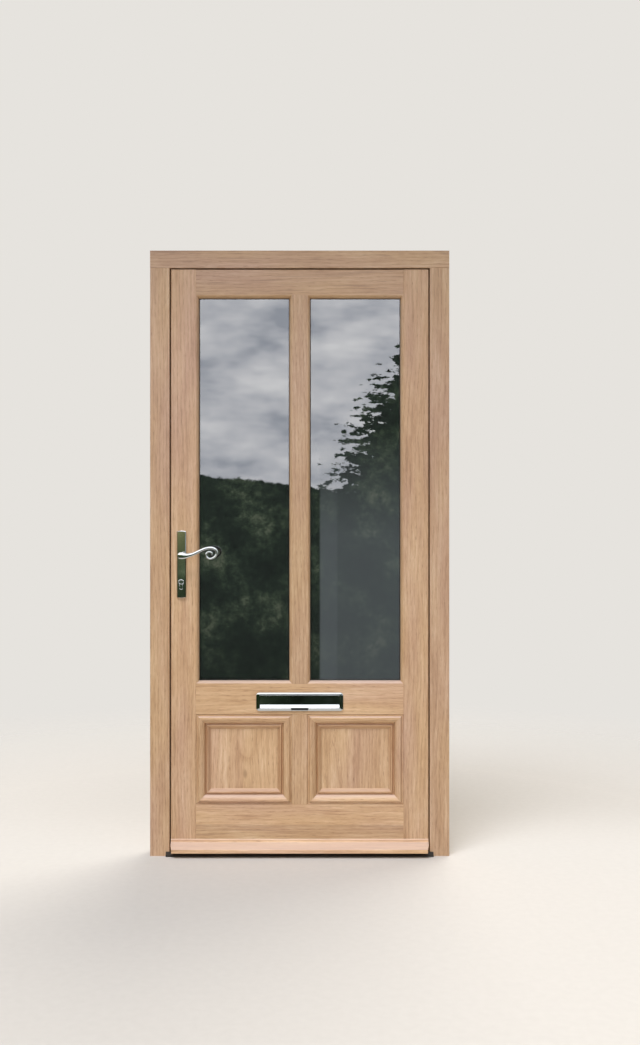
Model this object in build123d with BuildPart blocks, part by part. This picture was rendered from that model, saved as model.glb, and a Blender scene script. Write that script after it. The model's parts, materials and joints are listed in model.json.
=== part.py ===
from build123d import *
import os
from math import sqrt

# Oak front door hung in its rebated oak frame: two tall glazed lights over two sunk panels.
# Millimetres. x runs from the lock side to the hinge side and y from outside to inside. z is up.
# The origin is on the ground, midway between the jambs, in the frame's outer face.

os.makedirs("parts", exist_ok=True)

# Leaf
LEAF_W = 915.0
LEAF_H = 2027.0
LEAF_T = 68.0
LEAF_BACK = 6.0
FOOT_GAP = 8.0
EDGE_GAP = 3.0
LIP_T = 29.0
LIP_GAP_SIDE = 4.5
LIP_GAP_HEAD = 4.0
STILE_W = 86.0
MUNTIN_W = 52.0
TOP_RAIL_H = 87.0
LOCK_RAIL_H = 105.0
PANEL_H = 310.0
BOTTOM_RAIL_H = 70.0
LOWER_BOARD_H = 99.0
JOINT_V = 0.5

# Frame
STOP_W = 12.0
SEAL_ROOM = 4.0
JAMB_W = 67.0
HEAD_H = 60.0
ARRIS = 1.5
TENON_T = 20.0
TENON_W = 34.0
TENON_L = 35.0
TENON_FIT = 0.2
FIX_R = 4.0
FIX_LOW = 350.0
FIX_TOP_IN = 276.0
FIX_Y = 12.0

# Threshold section
SILL_NOSE = 12.0
SILL_NOSE_H = 4.0
SILL_UP_H = 15.0
SILL_UP_BACK = 2.0
SILL_UP_T = 5.0
SILL_DECK_H = 5.0
SILL_WALL = 2.0
SILL_SEAL_H = 5.0

# Seals
SEAL_STEM = 3.0
SEAL_DEEP = 6.0
SEAL_BULB = 8.0
SEAL_REST = 0.3

# Glazing
BEAD_W = 10.0
BEAD_EASE = 1.5
BEAD_CURVE = 14.0
BEAD_SWELL = 0.7
UNIT_T = 24.0
PANE_T = 4.0
UNIT_GAP = 3.0
SPACER_IN = 4.0
SPACER_W = 7.0
MITRE_GAP = 0.1

# Panels
PANEL_SUNK = 14.0
PANEL_GAP = 1.0

# Panel moulding, from its outer edge inwards. Heights are out of the leaf's face and depths are below it.
RIM_W = 9.0
RIM_DEEP = 1.5
NOSE_W = 7.0
NOSE_UP = 6.0
NOSE_ROUND = 2.5
OVOLO_W = 16.0
OVOLO_BULGE = 2.0
FILLET_W = 5.0
FILLET_DEEP = 8.0
QUIRK_W = 1.0
BEADLET_W = 5.0
BEADLET_DEEP = 4.5
BEADLET_FALL = 1.5
COVE_W = 9.0
COVE_HOLLOW = 1.0
TOE_T = 1.0

# Weather bar
BAR_UP = 14.0
BAR_OUT = 42.0
BAR_NOSE_H = 11.0
BAR_RISE = 11.0
BAR_COVE_H = 9.0
BAR_COVE_W = 6.0
BAR_LIP_H = 5.0
BAR_LIP_T = 5.0
BAR_EASE = 1.0
BAR_END_IN = 6.0
BAR_END_DEEP = 24.0
DRIP_W = 6.0
DRIP_DEEP = 5.0

# Hinges
HINGE_LOW_IN = 275.0
HINGE_TOP_IN = 200.0
HINGE_H = 100.0
PLATE_T = 2.5
PLATE_REACH = 30.0
PIN_OUT = 7.5
KNUCKLE_R = 6.0
KNUCKLE_GAP = 0.3
PIN_R = 3.2
PIN_SHORT = 2.0
RUN_FIT = 0.05

# Lock
BACKSET = 50.0
SPINDLE_Z = 1036.0
CYLINDER_DROP = 92.0
DEAD_UP = 41.0
FACE_W = 20.0
FACE_T = 3.0
FACE_LOW_IN = 222.0
FACE_TOP_IN = 205.0
CASE_T = 16.0
CASE_PAST = 25.0
CASE_BELOW = 32.0
CASE_ABOVE = 49.0
CASE_FIT = 0.3
BOLT_CASE_PAST = 11.0
BOLT_CASE_H = 70.0
BOLT_IN = (100.0, 110.0)
BOLT_RUN = 2.0
BOLT_T = 12.0
BOLT_H = 30.0
BOLT_L = 42.0
BOLT_FIT = 0.3
BOLT_THROW = 20.0
LATCH_OUT = 12.0
LATCH_H = 22.0
LATCH_L = 33.0
KEEP_W = 22.0
KEEP_CLEAR = 1.5
POCKET_EXTRA = 3.0
SPINDLE_SQ = 8.0
FOLLOWER_R = 11.0
EURO_R = 8.5
EURO_LEG_W = 10.0
EURO_H = 33.0
EURO_PROUD = 4.0
PLUG_R = 6.6
CAM_R = 15.0
CAM_W = 8.0
CAM_T = 10.0
KEYWAY_W = 1.6
KEYWAY_H = 8.0
KEYWAY_DEEP = 3.0

# Handles
HANDLE_W = 32.0
HANDLE_BELOW = 56.0
HANDLE_ABOVE = 85.0
HANDLE_T = 9.0
HANDLE_ARCH = 3.0
HANDLE_BEVEL = 2.5
COLLAR_R = 11.0
COLLAR_H = 5.0
NECK_R = 7.5
LEVER_OUT = 56.0
LEVER_T = 10.0
LEVER_ROOT_R = 12.0
LEVER_ROOT_IN = 4.5
LEVER_GAP = 0.3
# The middle line of the lever seen from outside, from the spindle into its curled tail
LEVER_LINE = (
    (0.0, 0.0),
    (14.0, -1.0),
    (29.0, 0.5),
    (45.0, 5.0),
    (58.0, 11.0),
    (71.0, 17.2),
    (85.0, 23.2),
    (98.0, 26.0),
    (110.0, 26.0),
    (120.0, 22.0),
    (125.5, 14.0),
    (125.0, 4.0),
    (118.0, -5.0),
    (104.0, -10.5),
    (93.0, -5.5),
    (89.5, 4.0),
    (94.5, 11.5),
    (103.0, 13.0),
    (110.0, 8.0),
    (109.5, 1.5),
)
LEVER_WIDTHS = ((0.0, 22.0), (0.12, 13.5), (0.2, 11.0), (0.36, 9.2), (0.5, 9.2), (0.74, 6.0), (1.0, 4.6))
LEVER_ARCS = 10

# Letter plate
LETTER_W = 301.0
LETTER_H = 64.0
LETTER_R = 7.0
LETTER_BEVEL = 2.5
LETTER_T = 8.0
LETTER_UP = 12.0
FLAP_W = 273.0
FLAP_SIDE_GAP = 1.0
WINDOW_TOP_IN = 5.0
WINDOW_LOW_IN = 9.5
WINDOW_DEEP = 6.2
SLOT_W = 262.0
SLOT_LOW_IN = 11.0
SLOT_TOP_IN = 13.0
SLEEVE_WALL = 2.0
SLEEVE_FIT = 0.3
SLEEVE_L = 24.0
SLEEVE_LAP = 4.0
FLAP_T = 2.5
FLAP_PIN_R = 1.5
FLAP_BARREL_R = 3.0
FLAP_PIN_IN = 10.0
FLAP_PIN_DEEP = 2.6
FLAP_LOW_GAP = 2.0
FLAP_FLARE_H = 15.0
FLAP_FLARE_OUT = 3.2
NOTCH_W = 60.0
NOTCH_H = 5.0
NOTCH_SPLAY = 3.0

# Worked out from the above
FACE_Y = LEAF_BACK
BACK_Y = LEAF_BACK + LEAF_T
STEP_Y = FACE_Y + LIP_T
STOP_T = STEP_Y - SEAL_ROOM
HALF_W = LEAF_W / 2
REBATE_X = HALF_W + EDGE_GAP
STOP_X = REBATE_X - STOP_W
LIP_X = STOP_X - LIP_GAP_SIDE
JAMB_X = STOP_X + JAMB_W
LEAF_TOP = FOOT_GAP + LEAF_H
HEAD_REBATE = LEAF_TOP + EDGE_GAP
HEAD_LOW = HEAD_REBATE - STOP_W
HEAD_TOP = HEAD_LOW + HEAD_H
LIP_TOP = HEAD_LOW - LIP_GAP_HEAD
RAIL_X = LIP_X - STILE_W
MUNTIN_X = MUNTIN_W / 2
OPENING_X = ((-RAIL_X, -MUNTIN_X), (MUNTIN_X, RAIL_X))
LOWER_BOARD_TOP = FOOT_GAP + LOWER_BOARD_H
PANEL_LOW = LOWER_BOARD_TOP + BOTTOM_RAIL_H
PANEL_TOP = PANEL_LOW + PANEL_H
LIGHT_LOW = PANEL_TOP + LOCK_RAIL_H
LIGHT_TOP = LIP_TOP - TOP_RAIL_H
MID_Y = (FACE_Y + BACK_Y) / 2
LOCK_Y = (STEP_Y + BACK_Y) / 2
GLASS_Y = (MID_Y - UNIT_T / 2, MID_Y + UNIT_T / 2)
FIX_Z = (FIX_LOW, HEAD_LOW - FIX_TOP_IN)
SEAL_X = REBATE_X - STOP_W / 2
SEAL_Z = HEAD_REBATE - STOP_W / 2
TENON_Y = (STOP_T + BACK_Y) / 2
TENON_X = (REBATE_X + JAMB_X) / 2
HINGE_LOW = FOOT_GAP + HINGE_LOW_IN
HINGE_TOP = LEAF_TOP - HINGE_TOP_IN
HINGE_Z = (HINGE_LOW, (HINGE_LOW + HINGE_TOP) / 2, HINGE_TOP)
PIN_X = HALF_W + EDGE_GAP / 2
PIN_Y = BACK_Y + PIN_OUT
SPINDLE_X = -HALF_W + BACKSET
CYLINDER_Z = SPINDLE_Z - CYLINDER_DROP
DEAD_Z = CYLINDER_Z + DEAD_UP
FACE_LOW = FOOT_GAP + FACE_LOW_IN
FACE_HIGH = LEAF_TOP - FACE_TOP_IN
BOLT_Z = (FACE_LOW + BOLT_IN[0], FACE_HIGH - BOLT_IN[1])
CASE_BACK = SPINDLE_X + CASE_PAST
CASE_Z = (CYLINDER_Z - CASE_BELOW, SPINDLE_Z + CASE_ABOVE)
HANDLE_LOW = CYLINDER_Z - HANDLE_BELOW
HANDLE_HIGH = SPINDLE_Z + HANDLE_ABOVE
EURO_Y = (FACE_Y - HANDLE_T - EURO_PROUD, BACK_Y + HANDLE_T + EURO_PROUD)
LETTER_LOW = PANEL_TOP + LETTER_UP
LETTER_TOP = LETTER_LOW + LETTER_H
LETTER_Z = (LETTER_LOW + LETTER_TOP) / 2
WINDOW_Z = (LETTER_LOW + WINDOW_LOW_IN, LETTER_TOP - WINDOW_TOP_IN)
FLAP_PIN_Z = LETTER_TOP - FLAP_PIN_IN
FLAP_PIN_L = FLAP_W + 2 * FLAP_SIDE_GAP


def save(piece, name):
    """Label a finished piece and write it to its own file."""
    piece.part.label = name
    export_step(piece.part, f"parts/{name}.step")


def upright(y):
    """The upright plane at a depth, seen from outside, with x to the right and z up."""
    return Plane.XZ.offset(-y)


def outline(points):
    """A straight-sided outline through its corners, in the sketch being made."""
    with BuildLine() as edge:
        Polyline(*points, close=True)
    make_face(edge.edges())


def slab(x, y, z, mode=Mode.ADD):
    """A square block between two limits on each axis, in the part being made."""
    with BuildSketch(Plane.XY.offset(z[0])) as plan:
        with Locations(((x[0] + x[1]) / 2, (y[0] + y[1]) / 2)):
            Rectangle(x[1] - x[0], y[1] - y[0])
    extrude(plan.sketch, amount=z[1] - z[0], mode=mode)


def mitred_ring(x, z, face, side, section):
    """Four lengths round an opening, cut to 45 degrees at the corners.
    The section is drawn with its first axis in from the opening's edge and its second out of the face.
    The side is -1 on the outer face of the leaf and 1 on the inner one."""
    corners = ((x[0], z[0]), (x[1], z[0]), (x[1], z[1]), (x[0], z[1]))
    reach = min(x[1] - x[0], z[1] - z[0]) / 2 - 1
    lengths = []
    for start, end in zip(corners, corners[1:] + corners[:1]):
        along = Vector(end[0] - start[0], 0, end[1] - start[1])
        run = along.length
        along = along.normalized()
        inward = Vector(-along.Z, 0, along.X)
        seat = Plane(origin=(start[0], face, start[1]), x_dir=inward, z_dir=along * -side)
        with BuildPart() as length:
            with BuildSketch(seat):
                section()
            extrude(amount=run * -side)
            near, far = Vector(start[0], start[1]), Vector(end[0], end[1])
            go, turn = Vector(along.X, along.Z), Vector(inward.X, inward.Z)
            with BuildSketch(upright(face)):
                outline(
                    (
                        near + go * MITRE_GAP,
                        far - go * MITRE_GAP,
                        far + (turn - go) * reach - go * MITRE_GAP,
                        near + (turn + go) * reach + go * MITRE_GAP,
                    )
                )
            extrude(amount=LEAF_T, both=True, mode=Mode.INTERSECT)
        lengths.append(length.part)
    return lengths


# Threshold
def sill_outline():
    """The threshold's outside section: nose, upstand in front of the leaf, low deck under it."""
    outline(
        (
            (-SILL_NOSE, 0),
            (-SILL_NOSE, SILL_NOSE_H),
            (SILL_UP_BACK - SILL_UP_T, SILL_UP_H),
            (SILL_UP_BACK, SILL_UP_H),
            (SILL_UP_BACK, SILL_DECK_H),
            (BACK_Y - SILL_DECK_H, SILL_DECK_H),
            (BACK_Y, SILL_WALL),
            (BACK_Y, 0),
        )
    )


with BuildPart() as threshold:
    with BuildSketch(Plane.YZ.offset(-REBATE_X)):
        sill_outline()
    extrude(amount=2 * REBATE_X)
    # hollows between the feet of the section
    feet = (SILL_UP_BACK + SILL_UP_T, MID_Y, BACK_Y - SILL_DECK_H)
    for front, back in zip(feet, feet[1:]):
        slab(
            (-REBATE_X, REBATE_X),
            (front + SILL_WALL, back - SILL_WALL),
            (0, SILL_DECK_H - SILL_WALL),
            mode=Mode.SUBTRACT,
        )
save(threshold, "threshold")

with BuildPart() as threshold_seal:
    slab(
        (-STOP_X, STOP_X),
        (SILL_UP_BACK, FACE_Y - SEAL_REST),
        (SILL_UP_H - SILL_SEAL_H, SILL_UP_H - 1),
    )
save(threshold_seal, "threshold_seal")


# Jambs and head
def groove_section(x, mode=Mode.SUBTRACT):
    """The seal's groove in the stop, in plan or in height."""
    with Locations((x, STOP_T - SEAL_DEEP / 2)):
        Rectangle(SEAL_STEM, SEAL_DEEP, mode=mode)


for side, name in ((-1, "lock_jamb"), (1, "hinge_jamb")):
    with BuildPart() as jamb:
        with BuildSketch():
            with Locations((side * (STOP_X + JAMB_X) / 2, STOP_T / 2)):
                Rectangle(JAMB_W, STOP_T)
            groove_section(side * SEAL_X)
        extrude(amount=HEAD_LOW)
        chamfer(jamb.edges().filter_by(Axis.Z).group_by(Axis.Y)[0], ARRIS)
        with BuildSketch():
            with Locations((side * (REBATE_X + JAMB_X) / 2, (STOP_T + BACK_Y) / 2)):
                Rectangle(JAMB_X - REBATE_X, BACK_Y - STOP_T)
        extrude(amount=HEAD_REBATE)
        with BuildSketch(Plane.XY.offset(HEAD_REBATE)):
            with Locations((side * TENON_X, TENON_Y)):
                Rectangle(TENON_W, TENON_T)
        extrude(amount=TENON_L)
        # the stop is scribed over the threshold
        with BuildSketch(Plane.YZ.offset(side * REBATE_X)):
            sill_outline()
        extrude(amount=-side * STOP_W, mode=Mode.SUBTRACT)
        # holes for the screws that hold the frame in the wall
        for height in FIX_Z:
            seat = Plane(origin=(side * STOP_X, FIX_Y, height), z_dir=(-side, 0, 0))
            with Locations(seat):
                Hole(FIX_R, JAMB_W)
        if side > 0:
            for height in HINGE_Z:
                half = HINGE_H / 2
                slab(
                    (REBATE_X, REBATE_X + PLATE_T),
                    (BACK_Y - PLATE_REACH, BACK_Y),
                    (height - half, height + half),
                    mode=Mode.SUBTRACT,
                )
        else:
            slab(
                (-REBATE_X - FACE_T, -REBATE_X),
                (LOCK_Y - KEEP_W / 2, LOCK_Y + KEEP_W / 2),
                (FACE_LOW, FACE_HIGH),
                mode=Mode.SUBTRACT,
            )
            pocket = BOLT_T / 2 + KEEP_CLEAR
            for height in (*BOLT_Z, DEAD_Z):
                slab(
                    (-HALF_W - BOLT_THROW - POCKET_EXTRA, -REBATE_X),
                    (LOCK_Y - pocket, LOCK_Y + pocket),
                    (height - BOLT_H / 2 - KEEP_CLEAR, height + BOLT_H / 2 + KEEP_CLEAR),
                    mode=Mode.SUBTRACT,
                )
            slab(
                (-HALF_W - LATCH_OUT - POCKET_EXTRA, -REBATE_X),
                (LOCK_Y - pocket, LOCK_Y + pocket),
                (SPINDLE_Z - LATCH_H / 2 - KEEP_CLEAR, SPINDLE_Z + LATCH_H / 2 + KEEP_CLEAR),
                mode=Mode.SUBTRACT,
            )
    save(jamb, name)

with BuildPart() as frame_head:
    with BuildSketch(Plane.YZ.offset(-JAMB_X)):
        outline(
            (
                (0, HEAD_LOW),
                (STOP_T, HEAD_LOW),
                (STOP_T, HEAD_REBATE),
                (BACK_Y, HEAD_REBATE),
                (BACK_Y, HEAD_TOP),
                (0, HEAD_TOP),
            )
        )
        with Locations((STOP_T - SEAL_DEEP / 2, SEAL_Z)):
            Rectangle(SEAL_DEEP, SEAL_STEM, mode=Mode.SUBTRACT)
    extrude(amount=2 * JAMB_X)
    chamfer(frame_head.edges().filter_by(Axis.X).group_by(Axis.Y)[0], ARRIS)
    for side in (-1, 1):
        slab(
            (side * TENON_X - TENON_W / 2 - TENON_FIT, side * TENON_X + TENON_W / 2 + TENON_FIT),
            (TENON_Y - TENON_T / 2 - TENON_FIT, TENON_Y + TENON_T / 2 + TENON_FIT),
            (HEAD_REBATE, HEAD_REBATE + TENON_L + 2 * TENON_FIT),
            mode=Mode.SUBTRACT,
        )
save(frame_head, "frame_head")


def seal_section():
    """A compression seal: a stem in the groove, with a pressed bulb in front of the leaf's step."""
    bulb = STEP_Y - SEAL_REST - STOP_T
    half, stem = SEAL_BULB / 2, SEAL_STEM / 2
    outline(
        (
            (-stem, -SEAL_DEEP),
            (-stem, 0),
            (-half, 0),
            (-half, bulb / 2),
            (-half / 2, bulb),
            (half / 2, bulb),
            (half, bulb / 2),
            (half, 0),
            (stem, 0),
            (stem, -SEAL_DEEP),
        )
    )


with BuildPart() as frame_seals:
    for side in (-1, 1):
        with BuildSketch(Plane(origin=(side * SEAL_X, STOP_T, SILL_UP_H))):
            seal_section()
        extrude(amount=HEAD_LOW - SILL_UP_H)
    with BuildSketch(Plane(origin=(STOP_X, STOP_T, SEAL_Z), x_dir=(0, 0, 1), z_dir=(-1, 0, 0))):
        seal_section()
    extrude(amount=2 * STOP_X)
save(frame_seals, "frame_seals")

# Keep strip in the lock jamb
with BuildPart() as keep_strip:
    with BuildSketch(Plane(origin=(-REBATE_X, LOCK_Y, 0), x_dir=(0, 1, 0), z_dir=(1, 0, 0))):
        with Locations((0, (FACE_LOW + FACE_HIGH) / 2)):
            Rectangle(KEEP_W, FACE_HIGH - FACE_LOW)
        window = BOLT_T + 2 * KEEP_CLEAR
        for height in (*BOLT_Z, DEAD_Z):
            with Locations((0, height)):
                Rectangle(window, BOLT_H + 2 * KEEP_CLEAR, mode=Mode.SUBTRACT)
        with Locations((0, SPINDLE_Z)):
            Rectangle(window, LATCH_H + 2 * KEEP_CLEAR, mode=Mode.SUBTRACT)
    extrude(amount=-FACE_T)
save(keep_strip, "keep_strip")


# Leaf timber
def stile_outline(side):
    """A stile in plan: the narrow outer lip, the step against the frame's stop and the wide inner part."""
    outline(
        (
            (side * RAIL_X, FACE_Y + JOINT_V),
            (side * (RAIL_X + JOINT_V), FACE_Y),
            (side * (LIP_X - ARRIS), FACE_Y),
            (side * LIP_X, FACE_Y + ARRIS),
            (side * LIP_X, STEP_Y),
            (side * HALF_W, STEP_Y),
            (side * HALF_W, BACK_Y),
            (side * (RAIL_X + JOINT_V), BACK_Y),
            (side * RAIL_X, BACK_Y - JOINT_V),
        )
    )


def euro_section(grow=0.0):
    """The round and leg of the lock cylinder, seen from the front."""
    with Locations((SPINDLE_X, CYLINDER_Z)):
        Circle(EURO_R + grow)
    leg_end = EURO_LEG_W / 2
    leg = EURO_H - EURO_R - leg_end
    with Locations((SPINDLE_X, CYLINDER_Z - leg / 2)):
        Rectangle(EURO_LEG_W + 2 * grow, leg)
    with Locations((SPINDLE_X, CYLINDER_Z - leg)):
        Circle(leg_end + grow)


def cylinder_mortice():
    """The square-cut hole for the lock cylinder, seen from the front."""
    with Locations((SPINDLE_X, CYLINDER_Z + EURO_R - EURO_H / 2)):
        Rectangle(2 * EURO_R + 2 * CASE_FIT, EURO_H + 2 * CASE_FIT)


def cam_room():
    """Room for the cylinder's cam to go round, cut from the part being made."""
    reach = CAM_R + BOLT_FIT
    slab(
        (SPINDLE_X - reach, SPINDLE_X + reach),
        (LOCK_Y - CAM_T / 2 - BOLT_FIT, LOCK_Y + CAM_T / 2 + BOLT_FIT),
        (CYLINDER_Z - reach, CYLINDER_Z + reach),
        mode=Mode.SUBTRACT,
    )


for side, name in ((-1, "lock_stile"), (1, "hinge_stile")):
    with BuildPart() as stile:
        with BuildSketch(Plane.XY.offset(FOOT_GAP)):
            stile_outline(side)
        extrude(amount=LEAF_H)
        slab(
            (side * (LIP_X + RAIL_X) / 2 - STILE_W, side * (LIP_X + RAIL_X) / 2 + STILE_W),
            (FACE_Y, STEP_Y),
            (LIP_TOP, LEAF_TOP),
            mode=Mode.SUBTRACT,
        )
        # groove for the foot seal
        slab(
            (-HALF_W, HALF_W),
            (LOCK_Y - SEAL_STEM / 2, LOCK_Y + SEAL_STEM / 2),
            (FOOT_GAP, FOOT_GAP + SEAL_DEEP),
            mode=Mode.SUBTRACT,
        )
        if side > 0:
            for height in HINGE_Z:
                half = HINGE_H / 2
                slab(
                    (HALF_W - PLATE_T, HALF_W),
                    (BACK_Y - PLATE_REACH, BACK_Y),
                    (height - half, height + half),
                    mode=Mode.SUBTRACT,
                )
        else:
            slab(
                (-HALF_W, -HALF_W + FACE_T),
                (LOCK_Y - FACE_W / 2, LOCK_Y + FACE_W / 2),
                (FACE_LOW, FACE_HIGH),
                mode=Mode.SUBTRACT,
            )
            slot = CASE_T / 2 + CASE_FIT
            slab(
                (-HALF_W, CASE_BACK + CASE_FIT),
                (LOCK_Y - slot, LOCK_Y + slot),
                (CASE_Z[0] - CASE_FIT, CASE_Z[1] + CASE_FIT),
                mode=Mode.SUBTRACT,
            )
            for height in BOLT_Z:
                slab(
                    (-HALF_W, -HALF_W + BOLT_L + BOLT_CASE_PAST + CASE_FIT),
                    (LOCK_Y - slot, LOCK_Y + slot),
                    (height - BOLT_CASE_H / 2 - CASE_FIT, height + BOLT_CASE_H / 2 + CASE_FIT),
                    mode=Mode.SUBTRACT,
                )
            with BuildSketch(upright(FACE_Y)):
                cylinder_mortice()
                with Locations((SPINDLE_X, SPINDLE_Z)):
                    Rectangle(2 * FOLLOWER_R, 2 * FOLLOWER_R)
            extrude(amount=-LEAF_T, mode=Mode.SUBTRACT)
    save(stile, name)


with BuildPart() as top_rail:
    with BuildSketch(Plane.YZ.offset(-RAIL_X)):
        outline(
            (
                (FACE_Y, LIGHT_TOP),
                (BACK_Y, LIGHT_TOP),
                (BACK_Y, LEAF_TOP),
                (STEP_Y, LEAF_TOP),
                (STEP_Y, LIP_TOP),
                (FACE_Y + ARRIS, LIP_TOP),
                (FACE_Y, LIP_TOP - ARRIS),
            )
        )
    extrude(amount=2 * RAIL_X)
    ends = top_rail.edges().filter_by(Axis.Z).group_by(Axis.Y)
    chamfer(ends[0] + ends[-1], JOINT_V)
save(top_rail, "top_rail")


def rail(low, high):
    """A square rail between the stiles, its end edges eased, in the part being made."""
    with BuildSketch(Plane.XY.offset(low)) as plan:
        with Locations((0, MID_Y)):
            Rectangle(2 * RAIL_X, LEAF_T)
        chamfer(plan.vertices(), JOINT_V)
    extrude(plan.sketch, amount=high - low)


def slot_section(grow=0.0):
    """The letter slot seen from the front, grown by a wall or a clearance all round."""
    low, high = LETTER_LOW + SLOT_LOW_IN, LETTER_TOP - SLOT_TOP_IN
    with Locations((0, (low + high) / 2)):
        Rectangle(SLOT_W + 2 * grow, high - low + 2 * grow)


with BuildPart() as lock_rail:
    rail(PANEL_TOP, LIGHT_LOW)
    with BuildSketch(upright(FACE_Y)):
        slot_section(2 * (SLEEVE_WALL + SLEEVE_FIT))
    extrude(amount=-LEAF_T, mode=Mode.SUBTRACT)
save(lock_rail, "lock_rail")

with BuildPart() as bottom_rail:
    rail(LOWER_BOARD_TOP, PANEL_LOW)
save(bottom_rail, "bottom_rail")

with BuildPart() as bottom_board:
    rail(FOOT_GAP, LOWER_BOARD_TOP)
    slab(
        (-RAIL_X, RAIL_X),
        (LOCK_Y - SEAL_STEM / 2, LOCK_Y + SEAL_STEM / 2),
        (FOOT_GAP, FOOT_GAP + SEAL_DEEP),
        mode=Mode.SUBTRACT,
    )
save(bottom_board, "bottom_board")

for name, low, high in (
    ("upper_muntin", LIGHT_LOW, LIGHT_TOP),
    ("lower_muntin", PANEL_LOW, PANEL_TOP),
):
    with BuildPart() as muntin:
        with BuildSketch(Plane.XY.offset(low)):
            with Locations((0, MID_Y)):
                Rectangle(MUNTIN_W, LEAF_T)
        extrude(amount=high - low)
        chamfer(muntin.edges().filter_by(Axis.X), JOINT_V)
    save(muntin, name)


# Panels and their mouldings
def panel_moulding():
    """A sunk rim, a raised nose, an ovolo falling to a fillet, then a quirked bead and a cove."""
    nose = RIM_W + NOSE_W
    ovolo = nose + OVOLO_W
    fillet = ovolo + FILLET_W
    quirk = fillet + QUIRK_W
    bead = quirk + BEADLET_W
    inner = bead + COVE_W
    toe = TOE_T - PANEL_SUNK
    low = -BEADLET_DEEP - BEADLET_FALL
    with BuildLine() as edge:
        Polyline(
            (0, -PANEL_SUNK),
            (0, -RIM_DEEP),
            (RIM_W, -RIM_DEEP),
            (RIM_W, NOSE_UP - NOSE_ROUND),
            (RIM_W + NOSE_ROUND, NOSE_UP),
            (nose, NOSE_UP),
        )
        ThreePointArc(
            (nose, NOSE_UP),
            (nose + OVOLO_W / 2 + OVOLO_BULGE, (NOSE_UP - FILLET_DEEP) / 2 + OVOLO_BULGE),
            (ovolo, -FILLET_DEEP),
        )
        Polyline(
            (ovolo, -FILLET_DEEP),
            (fillet, -FILLET_DEEP),
            (quirk, -BEADLET_DEEP),
            (bead, low),
        )
        ThreePointArc(
            (bead, low),
            (bead + COVE_W / 2 - COVE_HOLLOW, (low + toe) / 2 - COVE_HOLLOW),
            (inner, toe),
        )
        Polyline((inner, toe), (inner, -PANEL_SUNK), (0, -PANEL_SUNK))
    make_face(edge.edges())


def glazing_bead():
    """A small ovolo bead, flush with the leaf at its outer edge and square against the glass."""
    deep = (LEAF_T - UNIT_T) / 2
    swell = (BEAD_W * BEAD_SWELL, -BEAD_CURVE * (1 - BEAD_SWELL))
    with BuildLine() as edge:
        Polyline((BEAD_EASE, 0), (0, 0), (0, -deep), (BEAD_W, -deep), (BEAD_W, -BEAD_CURVE))
        ThreePointArc((BEAD_W, -BEAD_CURVE), swell, (BEAD_EASE, 0))
    make_face(edge.edges())


for hand, across in zip(("left", "right"), OPENING_X):
    with BuildPart() as panel:
        slab(
            (across[0] + PANEL_GAP, across[1] - PANEL_GAP),
            (FACE_Y + PANEL_SUNK, BACK_Y - PANEL_SUNK),
            (PANEL_LOW + PANEL_GAP, PANEL_TOP - PANEL_GAP),
        )
    save(panel, f"{hand}_panel")
    for place, face, side in (("outside", FACE_Y, -1), ("inside", BACK_Y, 1)):
        with BuildPart() as moulding:
            add(mitred_ring(across, (PANEL_LOW, PANEL_TOP), face, side, panel_moulding))
        save(moulding, f"{hand}_panel_moulding_{place}")
        with BuildPart() as bead:
            add(mitred_ring(across, (LIGHT_LOW, LIGHT_TOP), face, side, glazing_bead))
        save(bead, f"{hand}_glazing_bead_{place}")

# Sealed glazing units
for hand, across in zip(("left", "right"), OPENING_X):
    with BuildPart() as glass:
        for front in (GLASS_Y[0], GLASS_Y[1] - PANE_T):
            slab(
                (across[0] + UNIT_GAP, across[1] - UNIT_GAP),
                (front, front + PANE_T),
                (LIGHT_LOW + UNIT_GAP, LIGHT_TOP - UNIT_GAP),
            )
    save(glass, f"{hand}_glass")

with BuildPart() as glazing_spacers:
    for across in OPENING_X:
        middle = ((across[0] + across[1]) / 2, (LIGHT_LOW + LIGHT_TOP) / 2)
        inset = 2 * (UNIT_GAP + SPACER_IN)
        with BuildSketch(upright(GLASS_Y[0] + PANE_T)):
            with Locations(middle):
                Rectangle(across[1] - across[0] - inset, LIGHT_TOP - LIGHT_LOW - inset)
                inner = inset + 2 * SPACER_W
                Rectangle(across[1] - across[0] - inner, LIGHT_TOP - LIGHT_LOW - inner, mode=Mode.SUBTRACT)
        extrude(amount=2 * PANE_T - UNIT_T)
save(glazing_spacers, "glazing_spacers")

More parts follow.
